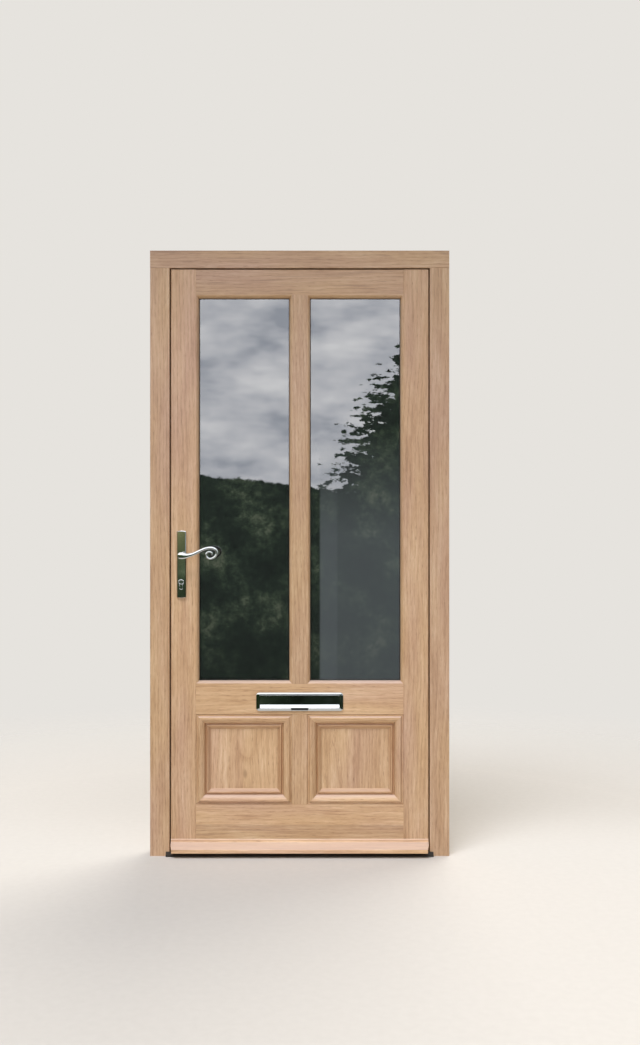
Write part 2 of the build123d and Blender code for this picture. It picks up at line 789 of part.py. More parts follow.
# Weather bar
with BuildPart() as weather_bar:
    bottom = FOOT_GAP + BAR_UP
    nose = FACE_Y - BAR_OUT
    nose_top = bottom + BAR_NOSE_H
    slope_top = nose_top + BAR_RISE
    lip_low = slope_top + BAR_COVE_H
    top = lip_low + BAR_LIP_H
    lip = FACE_Y - BAR_LIP_T
    cove = lip - BAR_COVE_W
    groove = nose + BAR_EASE + DRIP_W
    hollow = (lip - BAR_COVE_W / 4, slope_top + BAR_COVE_H / 3)
    with BuildSketch(Plane.YZ.offset(-LIP_X)):
        with BuildLine():
            Polyline((FACE_Y, bottom), (FACE_Y, top), (lip, top - BAR_EASE), (lip, lip_low))
            ThreePointArc((lip, lip_low), hollow, (cove, slope_top))
            Polyline(
                (cove, slope_top),
                (nose + BAR_EASE, nose_top + BAR_EASE),
                (nose, nose_top),
                (nose, bottom + BAR_EASE),
                (nose + BAR_EASE, bottom),
                (groove, bottom),
                (groove, bottom + DRIP_DEEP),
                (groove + DRIP_W, bottom + DRIP_DEEP),
                (groove + DRIP_W, bottom),
                (FACE_Y, bottom),
            )
        make_face()
    extrude(amount=2 * LIP_X)
    # the front corners are cut back so that the bar passes the jamb as the leaf swings
    for side in (-1, 1):
        with BuildSketch(Plane.XY.offset(bottom)):
            outline(
                (
                    (side * LIP_X, nose + BAR_END_DEEP),
                    (side * LIP_X, nose),
                    (side * (LIP_X - BAR_END_IN), nose),
                )
            )
        extrude(amount=top - bottom, mode=Mode.SUBTRACT)
save(weather_bar, "weather_bar")

with BuildPart() as foot_seal:
    stem = (LOCK_Y - SEAL_STEM / 2, LOCK_Y + SEAL_STEM / 2)
    wiper = (LOCK_Y - SEAL_BULB / 2, LOCK_Y + SEAL_BULB / 2)
    slab((-HALF_W, HALF_W), stem, (FOOT_GAP, FOOT_GAP + SEAL_DEEP))
    slab((-HALF_W, HALF_W), wiper, (SILL_DECK_H + SEAL_REST, FOOT_GAP))
save(foot_seal, "foot_seal")


# Hinges
def hinge_plate(z, side):
    """One wing of a lift-off hinge with its knuckle, in the part being made.
    The side is -1 on the leaf, whose knuckle is the upper one, and 1 on the frame."""
    edge = PIN_X + side * EDGE_GAP / 2
    wing = sorted((edge, edge + side * PLATE_T))
    clear = PIN_Y - KNUCKLE_R - KNUCKLE_GAP
    low = z + KNUCKLE_GAP / 2 if side < 0 else z - HINGE_H / 2
    tall = (HINGE_H - KNUCKLE_GAP) / 2
    slab(wing, (BACK_Y - PLATE_REACH, clear), (z - HINGE_H / 2, z + HINGE_H / 2))
    slab(wing, (clear, PIN_Y), (low, low + tall))
    with Locations((PIN_X, PIN_Y, low + tall / 2)):
        Cylinder(KNUCKLE_R, tall)
        if side < 0:
            Cylinder(PIN_R + RUN_FIT, tall, mode=Mode.SUBTRACT)


for place, height in zip(("bottom", "middle", "top"), HINGE_Z):
    for owner, side in (("leaf", -1), ("frame", 1)):
        with BuildPart() as hinge_wing:
            hinge_plate(height, side)
        save(hinge_wing, f"{place}_hinge_{owner}_plate")

with BuildPart() as hinge_pins:
    for height in HINGE_Z:
        # riveted upright on the frame's knuckle
        pin_l = (HINGE_H + KNUCKLE_GAP) / 2 - PIN_SHORT
        with Locations((PIN_X, PIN_Y, height - KNUCKLE_GAP / 2 + pin_l / 2)):
            Cylinder(PIN_R, pin_l)
save(hinge_pins, "hinge_pins")

# Lock
with BuildPart() as lock_faceplate:
    with BuildSketch(Plane(origin=(-HALF_W, LOCK_Y, 0), x_dir=(0, 1, 0), z_dir=(1, 0, 0))):
        with Locations((0, (FACE_LOW + FACE_HIGH) / 2)):
            Rectangle(FACE_W, FACE_HIGH - FACE_LOW)
        for height in (*BOLT_Z, DEAD_Z):
            with Locations((0, height)):
                Rectangle(BOLT_T + 2 * BOLT_FIT, BOLT_H + 2 * BOLT_FIT, mode=Mode.SUBTRACT)
        with Locations((0, SPINDLE_Z)):
            Rectangle(BOLT_T + 2 * BOLT_FIT, LATCH_H + 2 * BOLT_FIT, mode=Mode.SUBTRACT)
    extrude(amount=FACE_T)
save(lock_faceplate, "lock_faceplate")


def channel(height, tall, deep):
    """The run of a bolt through its case, with its sliding clearance."""
    half = BOLT_T / 2 + BOLT_FIT
    slab(
        (-HALF_W + FACE_T, -HALF_W + deep),
        (LOCK_Y - half, LOCK_Y + half),
        (height - tall / 2 - BOLT_FIT, height + tall / 2 + BOLT_FIT),
        mode=Mode.SUBTRACT,
    )


with BuildPart() as lock_case:
    slab((-HALF_W + FACE_T, CASE_BACK), (LOCK_Y - CASE_T / 2, LOCK_Y + CASE_T / 2), CASE_Z)
    channel(DEAD_Z, BOLT_H, BOLT_L + BOLT_RUN)
    channel(SPINDLE_Z, LATCH_H, LATCH_L + BOLT_RUN)
    with BuildSketch(upright(LOCK_Y - CASE_T / 2)):
        cylinder_mortice()
        with Locations((SPINDLE_X, SPINDLE_Z)):
            Circle(FOLLOWER_R + RUN_FIT)
    extrude(amount=-CASE_T, mode=Mode.SUBTRACT)
    cam_room()
save(lock_case, "lock_case")

with BuildPart() as bolt_cases:
    for height in BOLT_Z:
        slab(
            (-HALF_W + FACE_T, -HALF_W + BOLT_L + BOLT_CASE_PAST),
            (LOCK_Y - CASE_T / 2, LOCK_Y + CASE_T / 2),
            (height - BOLT_CASE_H / 2, height + BOLT_CASE_H / 2),
        )
        channel(height, BOLT_H, BOLT_L + BOLT_RUN)
save(bolt_cases, "bolt_cases")

for name, height in (("dead_bolt", DEAD_Z), ("lower_bolt", BOLT_Z[0]), ("upper_bolt", BOLT_Z[1])):
    with BuildPart() as bolt:
        slab(
            (-HALF_W, -HALF_W + BOLT_L),
            (LOCK_Y - BOLT_T / 2, LOCK_Y + BOLT_T / 2),
            (height - BOLT_H / 2, height + BOLT_H / 2),
        )
        chamfer(bolt.faces().sort_by(Axis.X)[0].edges(), 1.0)
    save(bolt, name)

with BuildPart() as latch_bolt:
    tip = -HALF_W - LATCH_OUT
    with BuildSketch(Plane.XY.offset(SPINDLE_Z - LATCH_H / 2)):
        outline(
            (
                (tip, LOCK_Y + BOLT_T / 2),
                (tip, LOCK_Y + BOLT_T / 2 - 2),
                (-HALF_W, LOCK_Y - BOLT_T / 2),
                (tip + LATCH_L, LOCK_Y - BOLT_T / 2),
                (tip + LATCH_L, LOCK_Y + BOLT_T / 2),
            )
        )
    extrude(amount=LATCH_H)
save(latch_bolt, "latch_bolt")

with BuildPart() as lock_follower:
    with BuildSketch(upright(LOCK_Y - CASE_T / 2)):
        with Locations((SPINDLE_X, SPINDLE_Z)):
            Circle(FOLLOWER_R)
            Rectangle(SPINDLE_SQ + 2 * RUN_FIT, SPINDLE_SQ + 2 * RUN_FIT, mode=Mode.SUBTRACT)
    extrude(amount=-CASE_T)
save(lock_follower, "lock_follower")

with BuildPart() as cylinder_body:
    with BuildSketch(upright(EURO_Y[0])):
        euro_section()
    extrude(amount=EURO_Y[0] - EURO_Y[1])
    with BuildSketch(upright(EURO_Y[0])):
        with Locations((SPINDLE_X, CYLINDER_Z)):
            Circle(PLUG_R + RUN_FIT)
    extrude(amount=EURO_Y[0] - EURO_Y[1], mode=Mode.SUBTRACT)
    cam_room()
save(cylinder_body, "cylinder_body")

with BuildPart() as cylinder_plug:
    with BuildSketch(upright(EURO_Y[0])):
        with Locations((SPINDLE_X, CYLINDER_Z)):
            Circle(PLUG_R)
    extrude(amount=EURO_Y[0] - EURO_Y[1])
    # the cam that draws the bolts
    with BuildSketch(upright(LOCK_Y - CAM_T / 2)):
        cam_l = sqrt(CAM_R**2 - (CAM_W / 2) ** 2)
        with Locations((SPINDLE_X, CYLINDER_Z - cam_l / 2)):
            Rectangle(CAM_W, cam_l)
    extrude(amount=-CAM_T)
    for face, way in ((EURO_Y[0], -1), (EURO_Y[1], 1)):
        with BuildSketch(upright(face)):
            with Locations((SPINDLE_X, CYLINDER_Z)):
                Rectangle(KEYWAY_W, KEYWAY_H)
        extrude(amount=way * KEYWAY_DEEP, mode=Mode.SUBTRACT)
save(cylinder_plug, "cylinder_plug")


# Handles
def handle_outline():
    """A long narrow plate with slightly arched ends."""
    half = HANDLE_W / 2
    low, high = HANDLE_LOW + HANDLE_ARCH, HANDLE_HIGH - HANDLE_ARCH
    with BuildLine() as edge:
        Line((SPINDLE_X - half, low), (SPINDLE_X - half, high))
        ThreePointArc((SPINDLE_X - half, high), (SPINDLE_X, HANDLE_HIGH), (SPINDLE_X + half, high))
        Line((SPINDLE_X + half, high), (SPINDLE_X + half, low))
        ThreePointArc((SPINDLE_X + half, low), (SPINDLE_X, HANDLE_LOW), (SPINDLE_X - half, low))
    make_face(edge.edges())


# the spindle's corners turn freely in the plates
spindle_room = SPINDLE_SQ * sqrt(2) + 2 * SLEEVE_FIT

for place, side in (("outside", -1), ("inside", 1)):
    leaf_face = FACE_Y if side < 0 else BACK_Y
    plate_face = leaf_face + side * HANDLE_T
    with BuildPart() as plate:
        with BuildSketch(upright(leaf_face)):
            handle_outline()
        extrude(amount=-side * HANDLE_T)
        front = plate.faces().sort_by(Axis.Y)[0 if side < 0 else -1]
        chamfer(front.edges(), HANDLE_BEVEL)
        with BuildSketch(upright(plate_face)):
            with Locations((SPINDLE_X, SPINDLE_Z)):
                Circle(COLLAR_R)
        extrude(amount=-side * COLLAR_H)
        with BuildSketch(upright(leaf_face)):
            euro_section(SLEEVE_FIT)
            with Locations((SPINDLE_X, SPINDLE_Z)):
                Rectangle(spindle_room, spindle_room)
        extrude(amount=-side * (HANDLE_T + COLLAR_H), mode=Mode.SUBTRACT)
    save(plate, f"{place}_handle_plate")

with BuildPart() as spindle:
    reach = LEVER_OUT - LEVER_T / 2
    with BuildSketch(upright(FACE_Y - reach)):
        with Locations((SPINDLE_X, SPINDLE_Z)):
            Rectangle(SPINDLE_SQ, SPINDLE_SQ)
    extrude(amount=-LEAF_T - 2 * reach)
save(spindle, "spindle")


def width_at(share):
    """The lever's width at a share of its length, read between the given widths."""
    for (start, wide), (end, narrow) in zip(LEVER_WIDTHS, LEVER_WIDTHS[1:]):
        if share <= end:
            return wide + (narrow - wide) * (share - start) / (end - start)
    return LEVER_WIDTHS[-1][1]


def lever_outline():
    """The lever's curled outline: arcs set off both sides of its middle line, closed by a round tip."""
    with BuildLine():
        middle = Spline(*LEVER_LINE)
    upper, lower = [], []
    for step in range(2 * LEVER_ARCS + 1):
        share = step / (2 * LEVER_ARCS)
        point, along = middle @ share, middle % share
        across = Vector(-along.Y, along.X) * (width_at(share) / 2)
        upper.append(point + across + Vector(SPINDLE_X, SPINDLE_Z))
        lower.append(point - across + Vector(SPINDLE_X, SPINDLE_Z))
    tip = middle @ 1 + (middle % 1) * (LEVER_WIDTHS[-1][1] / 2) + Vector(SPINDLE_X, SPINDLE_Z)
    with BuildLine() as edge:
        for points in (upper, lower):
            for first in range(0, 2 * LEVER_ARCS, 2):
                ThreePointArc(*points[first : first + 3])
        ThreePointArc(upper[-1], tip, lower[-1])
        Line(lower[0], upper[0])
    make_face(edge.edges())
    with Locations((SPINDLE_X + LEVER_ROOT_IN, SPINDLE_Z)):
        Circle(LEVER_ROOT_R)


for place, side in (("outside", -1), ("inside", 1)):
    leaf_face = FACE_Y if side < 0 else BACK_Y
    with BuildPart() as lever:
        with BuildSketch(upright(leaf_face + side * LEVER_OUT)):
            lever_outline()
        extrude(amount=side * LEVER_T)
        neck_end = HANDLE_T + COLLAR_H + LEVER_GAP
        with BuildSketch(upright(leaf_face + side * neck_end)):
            with Locations((SPINDLE_X, SPINDLE_Z)):
                Circle(NECK_R)
        extrude(amount=-side * (LEVER_OUT - LEVER_T - neck_end))
        with BuildSketch(upright(leaf_face)):
            with Locations((SPINDLE_X, SPINDLE_Z)):
                Rectangle(SPINDLE_SQ + 2 * RUN_FIT, SPINDLE_SQ + 2 * RUN_FIT)
        extrude(amount=-side * (LEVER_OUT - LEVER_T / 2 + RUN_FIT), mode=Mode.SUBTRACT)
    save(lever, f"{place}_lever")


# Letter plate
for place, side in (("outside", -1), ("inside", 1)):
    leaf_face = FACE_Y if side < 0 else BACK_Y
    front = leaf_face + side * LETTER_T
    # the inner sleeve slides over the outer one
    bore = 0.0 if side < 0 else SLEEVE_WALL + SLEEVE_FIT
    sleeve = SLEEVE_L if side < 0 else LEAF_T - SLEEVE_L + SLEEVE_LAP
    with BuildPart() as plate:
        with BuildSketch(upright(leaf_face)):
            with Locations((0, LETTER_Z)):
                RectangleRounded(LETTER_W, LETTER_H, LETTER_R)
        extrude(amount=-side * LETTER_T)
        rim = plate.faces().sort_by(Axis.Y)[0 if side < 0 else -1]
        chamfer(rim.edges(), LETTER_BEVEL)
        with BuildSketch(upright(front)):
            with Locations((0, (WINDOW_Z[0] + WINDOW_Z[1]) / 2)):
                Rectangle(FLAP_W + 2 * FLAP_SIDE_GAP, WINDOW_Z[1] - WINDOW_Z[0])
            # the scoop for a finger under the flap
            outline(
                (
                    (-NOTCH_W / 2, WINDOW_Z[0]),
                    (NOTCH_SPLAY - NOTCH_W / 2, WINDOW_Z[0] - NOTCH_H),
                    (NOTCH_W / 2 - NOTCH_SPLAY, WINDOW_Z[0] - NOTCH_H),
                    (NOTCH_W / 2, WINDOW_Z[0]),
                )
            )
        extrude(amount=side * WINDOW_DEEP, mode=Mode.SUBTRACT)
        with BuildSketch(upright(leaf_face)):
            slot_section(bore + SLEEVE_WALL)
        extrude(amount=side * sleeve)
        with BuildSketch(upright(leaf_face - side * sleeve)):
            slot_section(bore)
        extrude(amount=-side * (sleeve + LETTER_T), mode=Mode.SUBTRACT)
    save(plate, f"letter_frame_{place}")
    hinge_y = front - side * FLAP_PIN_DEEP
    with BuildPart() as flap:
        sheet = FLAP_PIN_DEEP - FLAP_T / 2
        low = WINDOW_Z[0] + FLAP_LOW_GAP
        flare = low + FLAP_FLARE_H
        lip = sheet - FLAP_FLARE_OUT
        section = (
            (sheet, FLAP_PIN_Z),
            (sheet, flare),
            (lip, low),
            (lip + FLAP_T, low),
            (sheet + FLAP_T, flare),
            (sheet + FLAP_T, FLAP_PIN_Z),
        )
        with BuildSketch(Plane.YZ.offset(-FLAP_W / 2)):
            outline([(front - side * deep, height) for deep, height in section])
            with Locations((hinge_y, FLAP_PIN_Z)):
                Circle(FLAP_BARREL_R)
                Circle(FLAP_PIN_R + RUN_FIT, mode=Mode.SUBTRACT)
        extrude(amount=FLAP_W)
    save(flap, f"letter_flap_{place}")

with BuildPart() as flap_pins:
    for side, leaf_face in ((-1, FACE_Y), (1, BACK_Y)):
        with BuildSketch(Plane.YZ.offset(-FLAP_PIN_L / 2)):
            with Locations((leaf_face + side * (LETTER_T - FLAP_PIN_DEEP), FLAP_PIN_Z)):
                Circle(FLAP_PIN_R)
        extrude(amount=FLAP_PIN_L)
save(flap_pins, "flap_pins")
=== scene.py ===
import json
from math import pi, radians, sin, cos, tau

import bmesh
import bpy
import numpy as np
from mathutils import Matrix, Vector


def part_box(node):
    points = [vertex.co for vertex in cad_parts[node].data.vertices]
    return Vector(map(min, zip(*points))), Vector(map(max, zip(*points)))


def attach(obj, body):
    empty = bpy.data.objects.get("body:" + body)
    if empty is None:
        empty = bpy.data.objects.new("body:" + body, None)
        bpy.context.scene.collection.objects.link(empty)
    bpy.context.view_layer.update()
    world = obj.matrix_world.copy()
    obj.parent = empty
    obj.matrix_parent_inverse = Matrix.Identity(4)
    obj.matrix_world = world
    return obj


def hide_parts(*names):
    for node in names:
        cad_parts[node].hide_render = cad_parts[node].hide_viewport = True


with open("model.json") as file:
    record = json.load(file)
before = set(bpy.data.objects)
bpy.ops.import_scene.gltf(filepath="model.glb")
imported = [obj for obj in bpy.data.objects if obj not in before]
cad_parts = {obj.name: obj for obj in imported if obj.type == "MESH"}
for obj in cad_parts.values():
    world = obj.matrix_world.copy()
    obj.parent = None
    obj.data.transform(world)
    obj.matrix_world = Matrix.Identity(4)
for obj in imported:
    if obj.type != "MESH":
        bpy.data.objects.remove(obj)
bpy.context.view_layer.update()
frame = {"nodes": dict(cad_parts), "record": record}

# An oak front door hung in its oak frame, dressed for its portrait. Sizes are in millimetres until a mesh
# is made, and x runs from the lock side to the hinge side, y from outside to inside and z up.
NODES = frame["nodes"]
SCENE = bpy.context.scene
MM = 0.001
SIDES = (("outside", -1), ("inside", 1))


# Meshes
def corners(name):
    """The lowest and the highest corner of a part of the frame, in millimetres."""
    low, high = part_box(name)
    return np.array(low) / MM, np.array(high) / MM


def face_of(name, side):
    """How far a part of the frame reaches outside, for side -1, or inside, for side 1."""
    return corners(name)[0 if side < 0 else 1][1]


def tube(rings, closed=False):
    """A shell over rings of points: quads join each ring to the next. A face closes either end, unless the
    last ring joins the first."""
    rings = np.asarray(rings, float)
    rows, columns = rings.shape[:2]
    row = np.arange(rows if closed else rows - 1)[:, None]
    column = np.arange(columns)[None, :]
    next_row, next_column = (row + 1) % rows, (column + 1) % columns
    corner = (row * columns + column, next_row * columns + column)
    across = (next_row * columns + next_column, row * columns + next_column)
    faces = np.stack(np.broadcast_arrays(*corner, *across), -1).reshape(-1, 4).tolist()
    if not closed:
        last = (rows - 1) * columns
        faces += [list(range(columns)), list(range(last, last + columns))]
    return rings.reshape(-1, 3), faces


def piece(name, shells, materials, body, numbers=None, smooth=35.0, stands_for=(), crease_shade=None):
    """Shells of points and faces made into one piece that rides on a body. Each shell has the material of its
    number, and edges sharper than the smooth angle stay crisp. Crease shade says how much painted shade lies
    at each point."""
    counts = [len(points) for points, _ in shells]
    starts = np.concatenate(([0], np.cumsum(counts)[:-1])).astype(int)
    points = np.concatenate([points for points, _ in shells]) * MM
    faces = []
    for start, (_, some) in zip(starts.tolist(), shells):
        faces += [[start + corner for corner in face] for face in some]
    mesh = bpy.data.meshes.new(name)
    mesh.from_pydata(points.tolist(), [], faces)
    for material in materials:
        mesh.materials.append(material)
    numbers = [0] * len(shells) if numbers is None else numbers
    mesh.polygons.foreach_set("material_index", np.repeat(numbers, [len(some) for _, some in shells]))
    if crease_shade is not None:
        mesh.attributes.new("crease_shade", "FLOAT", "POINT").data.foreach_set("value", crease_shade)
    shell = bmesh.new()
    shell.from_mesh(mesh)
    bmesh.ops.recalc_face_normals(shell, faces=shell.faces)
    shell.to_mesh(mesh)
    shell.free()
    mesh.shade_smooth()
    mesh.set_sharp_from_angle(angle=radians(smooth))
    made = bpy.data.objects.new(name, mesh)
    SCENE.collection.objects.link(made)
    if stands_for:
        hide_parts(*stands_for)
    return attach(made, body)


def eased(outline, steps=6):
    """A closed outline of (u, v, radius) corners, rounded: each corner c becomes the curve
    (1-t)^2 a + 2t(1-t) c + t^2 b between the points a and b that lie a radius before and after it.
    The third number of each point is 4t(1-t) in an inner corner, its painted shade, and 0 elsewhere."""
    outline = np.array(outline, float)
    corner, reach = outline[:, :2], outline[:, 2]
    back = np.roll(corner, 1, 0) - corner
    ahead = np.roll(corner, -1, 0) - corner
    back_l, ahead_l = np.linalg.norm(back, axis=1), np.linalg.norm(ahead, axis=1)
    reach = np.minimum(reach, 0.48 * np.minimum(back_l, ahead_l))
    a = corner + back * (reach / back_l)[:, None]
    b = corner + ahead * (reach / ahead_l)[:, None]
    t = np.linspace(0, 1, steps)[None, :, None]
    curve = (1 - t) ** 2 * a[:, None] + 2 * t * (1 - t) * corner[:, None] + t**2 * b[:, None]
    after = corner + ahead
    area = np.sum(corner[:, 0] * after[:, 1] - corner[:, 1] * after[:, 0])
    inner = (ahead[:, 0] * back[:, 1] - ahead[:, 1] * back[:, 0]) * np.sign(area) < 0
    corner_shade = 4 * t * (1 - t) * inner[:, None, None]
    curve = np.concatenate((curve, corner_shade), axis=2).reshape(-1, 3)
    step = np.linalg.norm((curve - np.roll(curve, 1, 0))[:, :2], axis=1)
    return curve[step > 1e-4]


def bowed(start, end, rise, count=9):
    """Corners with no radius on a shallow curve: the chord from start to end, plus 4t(1-t) times the rise on
    its left."""
    start, end = np.array(start, float), np.array(end, float)
    chord = end - start
    left = np.array((-chord[1], chord[0])) / np.linalg.norm(chord)
    t = np.linspace(0, 1, count)[:, None]
    return np.column_stack((start + t * chord + 4 * rise * t * (1 - t) * left, np.zeros(count))).tolist()


def around(axis):
    """Two directions square to an axis and to each other."""
    axis = np.array(axis, float)
    side = np.cross(axis, (0.0, 0.0, 1.0) if abs(axis[2]) < 0.9 else (1.0, 0.0, 0.0))
    side /= np.linalg.norm(side)
    return side, np.cross(axis, side)


def turned(profile, centre, axis, segments=40, closed=False):
    """A profile of (radius, height) turned round an axis: each of its points goes round a circle."""
    radius, height = np.array(profile, float).T
    turn = np.linspace(0, tau, segments, endpoint=False)
    side, other = around(axis)
    circle = np.cos(turn)[:, None] * side + np.sin(turn)[:, None] * other
    rings = np.array(centre) + height[:, None, None] * np.array(axis, float) + radius[:, None, None] * circle
    return tube(rings, closed)


def through(points, count):
    """A smooth line through points: between two of them it is the cubic whose slope at each point is half the
    chord between that point's neighbours. The stretches are sampled evenly."""
    points = np.asarray(points, float)
    padded = np.vstack((2 * points[0] - points[1], points, 2 * points[-1] - points[-2]))
    place = np.linspace(0, len(points) - 1, count)
    start = np.minimum(place.astype(int), len(points) - 2)
    t = (place - start)[:, None]
    before, here, there, after = (padded[start + step] for step in range(4))
    bend = 2 * before - 5 * here + 4 * there - after
    cube = 3 * here - before - 3 * there + after
    return here + 0.5 * t * (there - before + t * (bend + t * cube))


def mitred_ring(x, z, face, side, section, gap=0.15):
    """Four lengths round an opening with their ends cut at 45 degrees. A section point so far in from the
    opening's edge starts and stops that much later and sooner. The lengths go bottom, right, top, left."""
    corner = np.array(((x[0], z[0]), (x[1], z[0]), (x[1], z[1]), (x[0], z[1])))
    inset, out = section[:, 0], section[:, 1]
    lengths = []
    for start, end in zip(corner, np.roll(corner, -1, 0)):
        along = (end - start) / np.linalg.norm(end - start)
        inward = np.array((-along[1], along[0]))
        near = start + inset[:, None] * (inward + along) + gap * along
        far = end + inset[:, None] * (inward - along) - gap * along
        ends = [np.column_stack((spot[:, 0], face + side * out, spot[:, 1])) for spot in (near, far)]
        lengths.append(tube(ends))
    return lengths


# Materials
def colour(code, tone_and_shade=1.0):
    """An sRGB hex colour as linear red, green, blue and alpha, made lighter or darker by a tone."""
    value = np.array([int(code[i : i + 2], 16) for i in (1, 3, 5)]) / 255
    linear = np.where(value <= 0.04045, value / 12.92, ((value + 0.055) / 1.055) ** 2.4)
    return (*(linear * tone_and_shade).tolist(), 1.0)


def graded(stops, tone_and_shade=1.0):
    """Places along a ramp with hex codes, as places with linear colours."""
    return [(place, colour(code, tone_and_shade)) for place, code in stops]


def per_metre(*sizes):
    """How many times lengths in millimetres go into a metre: a pattern's scale on each axis."""
    return tuple(1000 / size for size in sizes)


def node(tree, kind, inputs=(), output=0, stops=(), **settings):
    """Adds a node with its settings and links and gives one of its outputs. An input is a value or another
    node's output, and stops are the places and colours of a colour ramp."""
    made = tree.nodes.new("ShaderNode" + kind)
    for name, value in settings.items():
        setattr(made, name, value)
    for count, (place, shade) in enumerate(stops):
        element = made.color_ramp.elements[count] if count < 2 else made.color_ramp.elements.new(place)
        element.position = place
        element.color = shade
    for name, value in dict(inputs).items():
        if isinstance(value, bpy.types.NodeSocket):
            tree.links.new(value, made.inputs[name])
        else:
            made.inputs[name].default_value = value
    return made.outputs[output] if made.outputs else None


def new_material(name):
    """An empty material, its tree and the object coordinates."""
    material = bpy.data.materials.new(name)
    material.use_nodes = True
    tree = material.node_tree
    tree.nodes.clear()
    return material, tree, node(tree, "TexCoord", output="Object")


# Boards painted lighter where they look up, as painted light from the sky
SKY_FACING_BOARDS = ("oak_weather_bar", "oak_level_moulding", "oak_upright_moulding")
PAINTED_TOP_LIGHT = 0.62


def varnished_oak(name, along, pith, ring, wander, tone_and_shade, pink_and_shade, figure, streaks=0.0, knot=None):
    """European oak, planed and varnished satin. The eye sees straight fibres, growth rings that arch where a
    board is cut flat to them, short dark pores and a soft sheen.
    The rings lie round a pith, given across the grain and into the door. Rings, fibres and pores are drawn a
    few times as coarse as oak's own, because the real ones are too fine to show."""
    material, tree, place = new_material(name)
    turn = (radians(1.1), pi / 2 if along == "x" else 0.0, 0.0)
    log = node(tree, "Mapping", {"Vector": place, "Rotation": turn})
    # the rings wander as the trunk does
    spot = node(tree, "Mapping", {"Vector": log, "Scale": per_metre(150, 150, 520)})
    wind = node(tree, "TexNoise", {"Vector": spot, "Scale": 1.0, "Detail": 2.0}, "Color")
    wind = node(tree, "VectorMath", {0: wind, 1: (0.5, 0.5, 0.5)}, operation="SUBTRACT")
    reach = (2 * wander * MM, 2 * wander * MM, 0.0)
    seen = node(tree, "VectorMath", {0: wind, 1: reach, 2: log}, operation="MULTIPLY_ADD")
    seen = node(tree, "VectorMath", {0: seen, 1: (pith[0] * MM, pith[1] * MM, 0.0)}, operation="SUBTRACT")
    flat = node(tree, "VectorMath", {0: seen, 1: (1.0, 1.0, 0.0)}, operation="MULTIPLY")
    radius = node(tree, "VectorMath", {0: flat}, "Value", operation="LENGTH")
    if knot:
        # the rings swell round a knot, which is longer along the grain
        off = node(tree, "VectorMath", {0: place, 1: (knot[0] * MM, 0.0, knot[1] * MM)}, operation="SUBTRACT")
        off = node(tree, "VectorMath", {0: off, 1: (1.0, 0.0, 0.42)}, operation="MULTIPLY")
        off = node(tree, "VectorMath", {0: off}, "Value", operation="LENGTH")
        swell = {"Value": off, "From Min": 0.0, "From Max": 0.045, "To Min": 0.016, "To Max": 0.0}
        swell = node(tree, "MapRange", swell, interpolation_type="SMOOTHSTEP")
        radius = node(tree, "Math", {0: radius, 1: swell}, operation="ADD")
    year = node(tree, "Math", {0: radius, 1: 1000 / ring}, operation="MULTIPLY")
    year = node(tree, "Math", {0: year}, operation="FRACT")
    greys = ((0.0, "#4c4c4c"), (0.1, "#6e6e6e"), (0.45, "#c4c4c4"), (0.9, "#b4b4b4"), (1.0, "#4c4c4c"))
    rings = node(tree, "ValToRGB", {"Fac": year}, stops=graded(greys))
    # fibres, threads, patches and blush, as (size across the grain, size along it, detail, roughness)
    sizes = ((4.2, 120, 4.0, 0.62), (1.9, 42, 3.0, 0.6), (34, 300, 3.0, 0.55), (110, 700, 2.0, 0.5))
    grain = []
    for wide, long, detail, rough in sizes:
        spot = node(tree, "Mapping", {"Vector": log, "Scale": per_metre(wide, wide, long)})
        noise = {"Vector": spot, "Scale": 1.0, "Detail": detail, "Roughness": rough}
        grain.append(node(tree, "TexNoise", noise))
    fibre, thread, patch, blush = grain
    # each pattern moves the shade up and down from one half
    weights = ((rings, 0.28 * figure), (fibre, 0.6), (thread, 0.75), (patch, 0.75))
    shade = 0.5 - sum(weight for _, weight in weights) / 2
    for pattern, weight in weights:
        shade = node(tree, "Math", {0: pattern, 1: weight, 2: shade}, operation="MULTIPLY_ADD")
    straws = ((0.1, "#a07c57"), (0.36, "#bf9a72"), (0.6, "#cfad86"), (0.85, "#dfc4a0"))
    roses = ((0.1, "#98745c"), (0.36, "#b89279"), (0.6, "#c8a58c"), (0.85, "#dabda5"))
    straw = node(tree, "ValToRGB", {"Fac": shade}, stops=graded(straws, tone_and_shade))
    rose = node(tree, "ValToRGB", {"Fac": shade}, stops=graded(roses, tone_and_shade))
    limits = {"Value": blush, "From Min": 0.6 - 0.45 * pink_and_shade, "From Max": 1.0 - 0.45 * pink_and_shade}
    share = node(tree, "MapRange", limits)
    wood = node(tree, "Mix", {0: share, 6: straw, 7: rose}, 2, data_type="RGBA")
    if streaks:
        spot = node(tree, "Mapping", {"Vector": seen, "Scale": per_metre(7, 7, 330)})
        streak = node(tree, "TexNoise", {"Vector": spot, "Scale": 1.0, "Detail": 2.0})
        streak = {"Value": streak, "From Min": 0.6, "From Max": 0.68, "To Max": streaks}
        streak = node(tree, "MapRange", streak)
        wood = node(tree, "Mix", {0: streak, 6: wood, 7: colour("#8d6a50", tone_and_shade)}, 2, data_type="RGBA")
    if knot:
        eye = {"Value": off, "From Min": 0.002, "From Max": 0.009, "To Min": 0.55, "To Max": 0.0}
        eye = node(tree, "MapRange", eye, interpolation_type="SMOOTHSTEP")
        wood = node(tree, "Mix", {0: eye, 6: wood, 7: colour("#8b6c4a", tone_and_shade)}, 2, data_type="RGBA")
